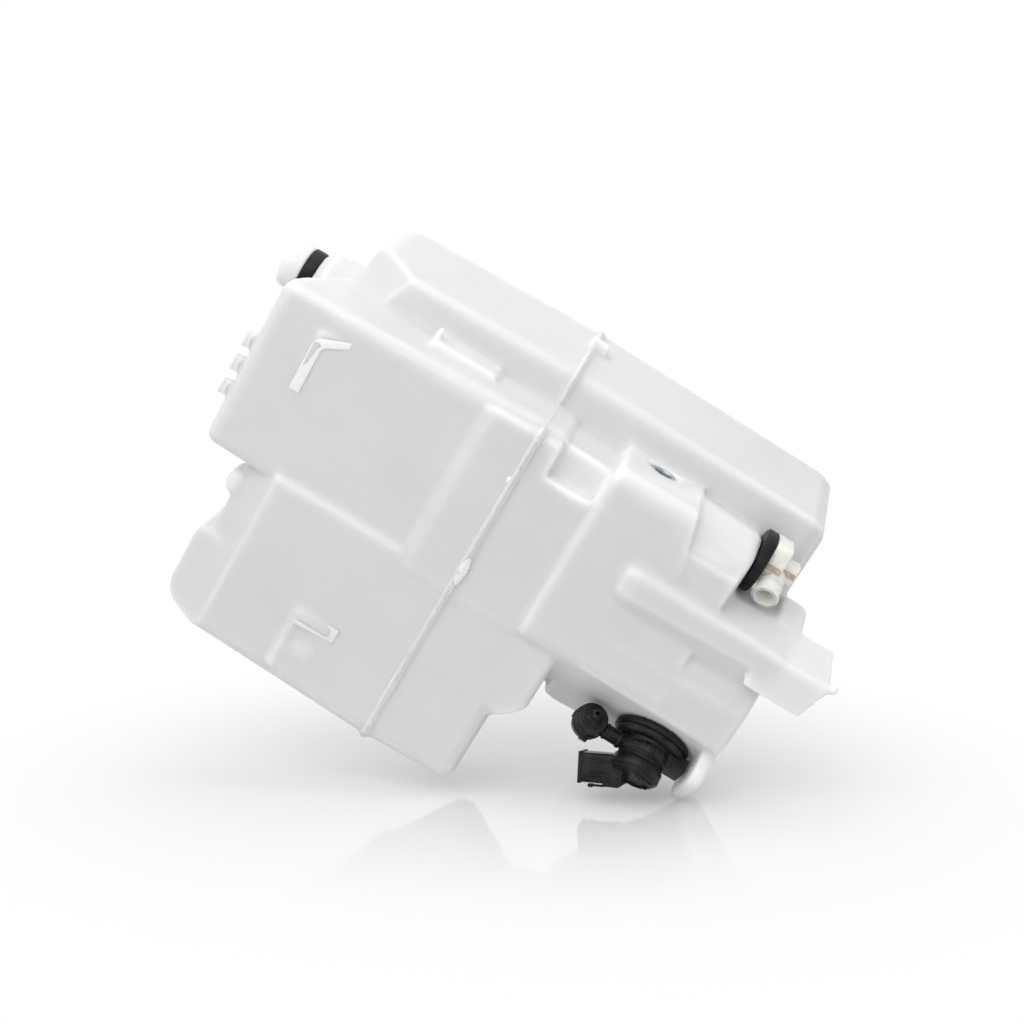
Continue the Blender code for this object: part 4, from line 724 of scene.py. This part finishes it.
def ring(name, stance, profile, steps=48):
    """Spins a closed profile of (radius, height) points in millimetres about a frame's Z."""
    bm = bmesh.new()
    points = [bm.verts.new(Vector((radius, 0, height)) * MM) for radius, height in profile]
    edges = [bm.edges.new((points[i - 1], points[i])) for i in range(len(points))]
    bmesh.ops.spin(
        bm,
        geom=points + edges,
        cent=(0, 0, 0),
        axis=(0, 0, 1),
        angle=math.tau,
        steps=steps,
        use_merge=True,
    )
    bmesh.ops.remove_doubles(bm, verts=bm.verts, dist=1e-7)
    bmesh.ops.recalc_face_normals(bm, faces=bm.faces)
    bmesh.ops.transform(bm, matrix=stance, verts=bm.verts)
    piece = link(name, bm)
    piece.data.shade_smooth()
    piece.data.set_sharp_from_angle(angle=FITTING_CREASE)
    return piece


def band(name, stance, inner, outer, low, high, edge=0.25, steps=48):
    """A ring of rectangular section with chamfered outer edges, sizes in millimetres."""
    profile = [
        (inner, low),
        (outer - edge, low),
        (outer, low + edge),
        (outer, high - edge),
        (outer - edge, high),
        (inner, high),
    ]
    return ring(name, stance, profile, steps)


def black(piece):
    """Paints a piece as the pump's black plastic."""
    return finish_piece(piece, FINISHES["black_plastic"], "reservoir")


black(band("body_band", pump_frame, BODY - 0.5, BODY + 0.9, 9.4, 16.2, 0.5))
black(band("cap_band", pump_frame, BODY - 0.5, BODY + 1.0, 19.6, 26.4, 0.6))
black(band("rim_ring", pump_frame, 19.0, 20.4, 7.0, 8.0, 0.3))

# %% Ribs and the window frame
WINDOW_TURN = -58


def row_solid(name, rows, closed=False):
    """A solid through rows of four corners, joined up at its ends or capped there."""
    bm = bmesh.new()
    made = [[bm.verts.new(corner) for corner in row] for row in rows]
    ahead = made[1:] + (made[:1] if closed else [])
    for before, after in zip(made, ahead):
        for i in range(4):
            bm.faces.new((before[i - 1], before[i], after[i], after[i - 1]))
    if not closed:
        bm.faces.new(made[0])
        bm.faces.new(reversed(made[-1]))
    bmesh.ops.recalc_face_normals(bm, faces=bm.faces)
    return link(name, bm)


def curved_rib(name, turn, width, low, high, rise):
    """A rib on the pump's body: turn and width in degrees about its axis, the rest in mm."""
    outer = BODY + 0.9 + rise
    steps = max(2, round(width / 4))
    rows = []
    for step in range(steps + 1):
        angle = math.radians(turn + width * (step / steps - 0.5))
        across = Vector((math.cos(angle), math.sin(angle), 0))
        corners = ((BODY, low), (outer, low), (outer, high), (BODY, high))
        rows.append([pump_frame @ ((across * r + Vector((0, 0, z))) * MM) for r, z in corners])
    return black(soften(row_solid(name, rows), 0.2 * MM))


curved_rib("window_top", WINDOW_TURN + 16, 5, 9.8, 15.6, 0.7)
curved_rib("window_side", WINDOW_TURN, 34, 14.2, 15.6, 0.7)
curved_rib("window_other_side", WINDOW_TURN, 34, 9.8, 11.0, 0.7)
curved_rib("window_foot", WINDOW_TURN - 16, 5, 9.8, 15.6, 0.7)
curved_rib("lower_rib", WINDOW_TURN - 46, 6, 9.8, 15.6, 1.0)
for number, turn in enumerate((110, 150, 200)):
    curved_rib(f"grip_{number}", turn, 7, 9.8, 15.8, 0.8)

# %% Boss and tabs on the cap
CAP_END = 28.5


def bar(name, stance, low, high, edge=0.3):
    """A bar between two corners in millimetres in a frame, with soft edges."""
    bm = bmesh.new()
    bmesh.ops.create_cube(bm, size=1.0)
    size = (Vector(high) - Vector(low)) * MM
    centre = (Vector(high) + Vector(low)) / 2 * MM
    bmesh.ops.scale(bm, vec=size, verts=bm.verts)
    bmesh.ops.translate(bm, vec=centre, verts=bm.verts)
    bmesh.ops.bevel(
        bm,
        geom=bm.edges[:],
        offset=edge * MM,
        offset_type='OFFSET',
        affect='EDGES',
        segments=2,
        profile=0.5,
        material=-1,
    )
    bmesh.ops.transform(bm, matrix=stance, verts=bm.verts)
    piece = link(name, bm)
    piece.data.shade_smooth()
    piece.data.set_sharp_from_angle(angle=FITTING_CREASE)
    return piece


boss_frame = pump_frame @ Matrix.Translation(Vector((-3.0, -8.0, CAP_END)) * MM)
black(band("screw_boss", boss_frame, 1.1, 2.7, -0.2, 1.4, 0.3, 28))
black(band("end_ring", pump_frame, 10.6, 11.8, CAP_END - 0.2, CAP_END + 0.7, 0.25))
for number, (up, across) in enumerate(((-9.5, 3.5), (-9.5, -6.5), (-3.0, 9.5))):
    low = (up - 1.6, across - 1.0, CAP_END - 0.2)
    high = (up + 1.6, across + 1.0, CAP_END + 1.0)
    black(bar(f"end_tab_{number}", pump_frame, low, high, 0.25))
print("cap ends", CAP_END, "mm from the seat")

# %% [markdown]
# ## The check valve and the outlet
#
# Water leaves the pump through a short tube with a check valve at its end, so that the hose stays
# full between two washes. The valve is joined from two moulded cups, whose rims show as rings, and
# its nipple has a barb that holds the hose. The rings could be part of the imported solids, but they
# matter only to the eye, so they are spun and laid over them, from the joint that lifts the disc.

# %% Rings and clip on the valve
VALVE_RISE = 36.0
OUTLET_STANDOFF = 12.6
valve_place = pump_seat + (upward * VALVE_RISE + pump_out * OUTLET_STANDOFF) * MM
valve_axis = Vector(joints["valve_lift"]["axis"]).normalized()
valve_frame = frame_at(valve_place, valve_axis, upward)
black(band("valve_waist", valve_frame, 9.0, 10.0, -1.4, 0.6, 0.3))
black(band("valve_front_ring", valve_frame, 5.2, 6.2, 7.2, 8.3, 0.3))
black(band("nipple_ring", valve_frame, 2.2, 3.2, 11.5, 12.7, 0.35, 28))
black(band("nipple_barb", valve_frame, 2.2, 2.9, 15.6, 17.4, 0.5, 28))
black(bar("valve_clip", valve_frame, (-4.0, 7.6, -5.0), (1.0, 10.8, -0.6), 0.5))
black(bar("valve_key", valve_frame, (8.8, -1.6, -4.6), (10.3, 1.6, 1.8), 0.4))
print("valve stands at", [round(v / MM, 1) for v in valve_place])

# %% Collars on the outlet tube
outlet_frame = frame_at(pump_seat + pump_out * OUTLET_STANDOFF * MM, upward, -pump_out)
black(band("outlet_collar", outlet_frame, 3.9, 5.2, 14.9, 17.4, 0.4, 32))
black(band("outlet_neck", outlet_frame, 3.9, 4.9, 24.4, 26.2, 0.4, 32))
for number, turn in enumerate((45, 135, 225, 315)):
    stance = outlet_frame @ Matrix.Rotation(math.radians(turn), 4, 'Z')
    black(bar(f"outlet_rib_{number}", stance, (3.6, -0.5, 17.2), (4.9, 0.5, 24.6), 0.2))
print("outlet tube starts", OUTLET_STANDOFF, "mm from the seat")

# %% [markdown]
# ## The pump's connector
#
# The connector is a thin-walled box for a two-way plug. Its mouth has a thicker rim, three ribs
# stiffen one wall, and a springy latch on the other keeps the plug in. Each of these is straight,
# so a bar with soft edges in the connector's own directions is enough.

# %% Ribs, rim and latch of the pump's connector
PLUG_DIRECTION = Vector((-0.52, 0.16, 0.84))
PLUG_FACING = Vector((0.31, -0.95, 0.0))
PLUG_STANDOFF = 24.0
PLUG_REACH = 32.0
plug_frame = frame_at(pump_seat + pump_out * PLUG_STANDOFF * MM, PLUG_DIRECTION, PLUG_FACING)


def frame_bars(name, stance, half, low, high, rise):
    """Four bars that make a rectangular collar round a connector."""
    x, y = half
    sides = [
        ((-x - rise, -y - rise, low), (x + rise, -y + 0.2, high)),
        ((-x - rise, y - 0.2, low), (x + rise, y + rise, high)),
        ((-x - rise, -y - rise, low), (-x + 0.2, y + rise, high)),
        ((x - 0.2, -y - rise, low), (x + rise, y + rise, high)),
    ]
    for number, (first, second) in enumerate(sides):
        black(bar(f"{name}_{number}", stance, first, second, 0.2))


frame_bars("plug_rim", plug_frame, (6.0, 8.5), PLUG_REACH - 2.0, PLUG_REACH, 0.5)
for number, across in enumerate((-5.6, -3.6, 4.6)):
    low = (5.8, across - 0.5, 13.0)
    black(bar(f"plug_rib_{number}", plug_frame, low, (6.7, across + 0.5, PLUG_REACH - 1.6), 0.2))
black(bar("latch_root", plug_frame, (-1.8, -10.6, 15.0), (1.8, -8.2, 18.4), 0.5))
black(bar("latch_arm", plug_frame, (-1.4, -11.0, 17.4), (1.4, -9.8, PLUG_REACH - 5.0), 0.4))
black(bar("latch_hook", plug_frame, (-1.9, -11.6, PLUG_REACH - 8.0), (1.9, -9.6, PLUG_REACH - 5.0), 0.5))
black(bar("plug_block", plug_frame, (-4.6, -10.2, 8.0), (4.6, -8.0, 14.6), 0.5))

# %% [markdown]
# ## The sensor's window and key
#
# The cream sensor has a darker window on the side of its block, where amber resin shows under a
# painted shadow from the disc, a brown strip down its corner, and a raised ring round the mouth of its connector.

# %% Dark resin and a painted shadow on the sensor's block
sensor_low, sensor_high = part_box("sensor_body")
print("sensor box in mm:", [round(v / MM, 1) for v in (*sensor_low, *sensor_high)])
upright = Matrix.Identity(4)
amber, tree, shader = finish_of("amber_resin", (0.50, 0.40, 0.30), 0.3)
cloud = noise_texture(tree, 350, 3.0)
streak = ramp(tree, cloud, [(0.35, (0.42, 0.33, 0.25)), (0.65, (0.60, 0.51, 0.42))])
tree.links.new(streak, shader.inputs["Base Color"])
bumps(tree, shader, [(noise_texture(tree, 1500, 2.0), 0.3, 3e-5)])
RESIN_PLACES = {
    "resin_strip": ((-15.0, -12.35, -67.0), (-11.5, -11.6, -58.3)),
    "resin_foot": ((-15.0, -6.35, -76.0), (-11.5, -5.6, -67.7)),
    # Painted shadow: the window under the disc is partly amber resin and partly shade painted dark.
    "resin_window": ((-23.0, -12.3, -63.4), (-16.0, -11.6, -58.6)),
}
for name, (low, high) in RESIN_PLACES.items():
    finish_piece(bar(name, upright, low, high, 0.15), amber, "reservoir")
print("places with resin:", len(RESIN_PLACES))

# %% Rings and key of the sensor's connector
TUBE_TURN = math.radians(31)
tube_way = Vector((-math.sin(TUBE_TURN), -math.cos(TUBE_TURN), 0))
tube_start = Vector((-16.5, 0.0, -66.0)) * MM
tube_frame = frame_at(tube_start, tube_way, upward)


def cream_piece(piece):
    """Paints a piece as the sensor's cream plastic."""
    return finish_piece(piece, FINISHES["cream_plastic"], "reservoir")


cream_piece(band("mouth_ring", tube_frame, 6.4, 7.9, 19.6, 22.0, 0.4))
cream_piece(band("tube_collar", tube_frame, 6.8, 7.8, 12.0, 13.4, 0.35))
cream_piece(bar("tube_key", tube_frame, (6.6, -1.2, 12.8), (8.6, 1.2, 20.4), 0.35))
print("connector points to", [round(v, 2) for v in tube_way])

# %% [markdown]
# ## Raised pads
#
# Small details of the tank are crisper than its big corners, because they are solid plastic. The
# remesh would melt them away, so the pads on the panel and on the left block are laid over the
# skin. Rays find the tank's front behind each corner of a pad, so that it follows the wall.

# %% Lay crisp pads on the skin
RAY_START = -70.0
PAD_DEPTH = 1.2
surface = BVHTree.FromObject(skin, bpy.context.evaluated_depsgraph_get())


def front_of(x, z):
    """Depth of the tank's front behind a point given in millimetres of width and height."""
    hit = surface.ray_cast(Vector((x, RAY_START, z)) * MM, Vector((0, 1, 0)))[0]
    return hit.y / MM


def paint_highlight(piece, level):
    """Paints a whole piece paler by a level of painted highlight, as the skin's corners are, in solid plastic."""
    attribute = piece.data.attributes.new("corner", 'FLOAT', 'POINT')
    attribute.data.foreach_set("value", [level] * len(piece.data.vertices))
    return finish_piece(piece, solid_polyethylene, "reservoir")


def pad(name, pairs, rise, white):
    """A raised strip on the tank's front through pairs of outer and inner (width, height)."""
    rows = []
    for pair in pairs:
        outer, inner = [Vector((x, front_of(x, z), z)) * MM for x, z in pair]
        proud = Vector((0, -rise, 0)) * MM
        sunk = Vector((0, PAD_DEPTH, 0)) * MM
        rows.append([outer + proud, inner + proud, inner + sunk, outer + sunk])
    return paint_highlight(soften(row_solid(name, rows), 0.25 * MM), white)


PANEL_MARK = [
    ((-60.0, 219.6), (-60.0, 213.2)),
    ((-31.0, 219.6), (-32.0, 213.2)),
    ((-26.0, 217.0), (-29.5, 211.5)),
    ((-19.5, 200.0), (-23.5, 199.4)),
]
LEFT_MARK = [
    ((-209.0, 156.0), (-209.0, 152.6)),
    ((-168.0, 156.0), (-178.0, 152.6)),
    ((-168.0, 128.0), (-177.0, 128.0)),
]
LEFT_BOSS = [
    ((-195.0, 134.0), (-188.0, 134.0)),
    ((-194.5, 147.0), (-187.5, 147.5)),
]
# Painted highlight: each pad is painted paler than the wall by its last number, most on the panel's mark.
pad("panel_mark", PANEL_MARK, 0.35, 0.9)
pad("left_mark", LEFT_MARK, 0.3, 0.3)
pad("left_boss", LEFT_BOSS, 0.3, 0.2)
print("front behind the panel's mark:", round(front_of(-31.0, 219.6), 1), "mm")

# %% [markdown]
# ## Hose pegs
#
# Three short pegs in a row on the top guide a hose. They are solid, with a lip at the front that
# keeps the hose from slipping off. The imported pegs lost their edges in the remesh, so a bar and a
# wider lip cover each of them.

# %% Put the hose pegs on the top
PEG_X = (-82.0, -66.6, -51.4)
PEG_FRONT = -23.5
PEG_TOP = 255.5
for number, x in enumerate(PEG_X):
    half = 4.45 if number == 1 else 4.35
    low = (x - half, PEG_FRONT - 0.15, PEG_TOP - 9.0)
    piece = bar(f"peg_{number}", upright, low, (x + half, PEG_FRONT + 5.15, PEG_TOP), 0.5)
    # Painted highlight: the peg is painted paler than the wall, and its lip paler still.
    paint_highlight(piece, 0.35)
    low = (x - half - 0.3, PEG_FRONT - 0.4, PEG_TOP - 1.6)
    lip = bar(f"peg_lip_{number}", upright, low, (x + half + 0.3, PEG_FRONT + 2.6, PEG_TOP), 0.4)
    paint_highlight(lip, 0.55)
print("pegs:", len(PEG_X))

# %% [markdown]
# ## Flash of the mould
#
# Round the tank's middle runs a thin ragged ribbon: plastic that was squeezed out between the mould
# halves and torn off. A flat strip behind it is where the halves pinched the wall. The outline is
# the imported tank's own section, cut a tenth of a millimetre under the parting line, because faces
# of the ridge end right on that line. Both change their section at every step, so they are joined
# row by row and not bridged at once.

# %% Cut the outline at the parting line
TEAR_STEP = 1.3 * MM
BESIDE_RIDGE = 0.1 * MM


def section_at(height):
    """The tank's outer outline at a height, as an ordered loop of points."""
    bm = bmesh.new()
    bm.from_mesh(nodes["tank"].data)
    bmesh.ops.remove_doubles(bm, verts=bm.verts, dist=1e-6)
    bmesh.ops.bisect_plane(
        bm,
        geom=bm.verts[:] + bm.edges[:] + bm.faces[:],
        plane_co=(0, 0, height),
        plane_no=(0, 0, 1),
        clear_inner=True,
        clear_outer=True,
    )
    start = max(bm.verts, key=lambda vert: (round(vert.co.x, 6), vert.co.y))
    loop = [start]
    ahead = start.link_edges[0].other_vert(start)
    while ahead is not start:
        beside = [edge.other_vert(ahead) for edge in ahead.link_edges]
        beside.remove(loop[-1])
        loop.append(ahead)
        ahead = beside[0]
    points = [vert.co.copy() for vert in loop]
    bm.free()
    return points


def even_steps(loop, step):
    """The same closed outline with points at even steps."""
    ends = loop[1:] + loop[:1]
    points = []
    for first, second in zip(loop, ends):
        count = max(1, round((second - first).length / step))
        points += [first.lerp(second, i / count) for i in range(count)]
    return points


section = section_at(PARTING - BESIDE_RIDGE)
outline = even_steps([Vector((p.x, p.y, PARTING)) for p in section], TEAR_STEP)
count = len(outline)
print("points round the tank:", count)

# %% Tear the flash over a flat strip
SEAM_HALF_HEIGHT = 2.1
strip_rows = []
area = sum(a.x * b.y - b.x * a.y for a, b in zip(outline, outline[1:] + outline[:1]))
way_round = 1 if area > 0 else -1
rows = []
for i, point in enumerate(outline):
    tangent = (outline[(i + 1) % count] - outline[i - 1]).normalized()
    outward = Vector((tangent.y, -tangent.x, 0)) * way_round
    torn = noise.noise(point * 420) + 0.6 * noise.noise(point * 1300)
    reach = (0.35 + 0.5 * max(0.0, torn)) * MM
    sway = 0.5 * noise.noise(point * 160 + Vector((7, 0, 0))) * MM
    tip = point + outward * reach
    for axis in range(3):
        tip[axis] = min(max(tip[axis], cad_low[axis]), cad_high[axis])
    root = point - outward * 0.9 * MM
    half = Vector((0, 0, SEAM_HALF_HEIGHT + 0.5 * noise.noise(point * 90))) * MM
    face = point - outward * (0.55 + 0.12 * noise.noise(point * 300)) * MM
    sunk = point - outward * 2.6 * MM
    strip_rows.append([sunk - half, face - half * 0.8, face + half * 0.8, sunk + half])
    lift = Vector((0, 0, 0.4)) * MM
    edge = Vector((0, 0, 0.14)) * MM
    drift = Vector((0, 0, sway))
    rows.append([root - lift, tip + drift - edge, tip + drift + edge, root + lift])
flash = row_solid("flash", rows, closed=True)
flash.data.shade_smooth()
# Painted highlight: the flash is painted at full paleness, and the strip behind it a little less.
paint_highlight(flash, 1.0)
seam = row_solid("seam_strip", strip_rows, closed=True)
seam.data.shade_smooth()
paint_highlight(seam, 0.6)
print("flash faces:", len(flash.data.polygons))

# %% [markdown]
# ## Scraps of flash
#
# Where the flash didn't tear off cleanly, a crumpled flake hangs on. It could be sculpted by hand,
# but a grid whose edges and depth follow a noise looks as ragged, and rays lay it on the front.

# %% Fold torn scraps of flash down on the front
SCRAP_GRAIN = 0.8
SCRAP_ROWS = 4
SCRAP_LIFT = 0.7


def scrap(name, left, right, middle_height, height, growth, seed):
    """A ragged flake on the front, in millimetres; growth is its thickness, outward if negative."""
    bm = bmesh.new()
    columns = round((right - left) / SCRAP_GRAIN)
    bmesh.ops.create_grid(bm, x_segments=columns, y_segments=SCRAP_ROWS, size=0.5)
    for vert in bm.verts:
        across = vert.co.x + 0.5
        upwards = vert.co.y + 0.5
        x = left + (right - left) * across
        taper = math.sin(math.pi * (columns * across + 0.35) / (columns + 0.7)) ** 0.5
        ragged = noise.noise(Vector((x * 0.9, seed, 0)))
        top = middle_height + height * taper * (0.5 + 0.35 * ragged)
        bottom = middle_height - height * taper * (0.5 + 0.35 * noise.noise(Vector((x, seed, 9))))
        z = bottom + (top - bottom) * upwards
        crumple = 0.45 * noise.noise(Vector((x * 0.7, seed, z * 0.7)))
        vert.co = Vector((x, front_of(x, z) - SCRAP_LIFT - crumple, z)) * MM
    bmesh.ops.recalc_face_normals(bm, faces=bm.faces)
    bmesh.ops.solidify(bm, geom=bm.faces[:], thickness=growth * MM)
    bmesh.ops.recalc_face_normals(bm, faces=bm.faces)
    piece = link(name, bm)
    piece.data.shade_smooth()
    # Painted highlight: each scrap is painted at full paleness.
    return paint_highlight(piece, 1.0)


scrap("scrap_wide", -106.0, -88.0, 85.0, 5.0, -0.45, 3.0)
scrap("scrap_small", -40.0, -36.0, 89.0, 2.4, 0.45, 11.0)

# %% [markdown]
# ## Sizes and the end
#
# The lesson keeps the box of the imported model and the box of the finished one.

# %% Write the sizes and finish
low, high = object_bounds()
print("grows by mm:", [round(v / MM, 2) for v in (*(cad_low - low), *(high - cad_high))])
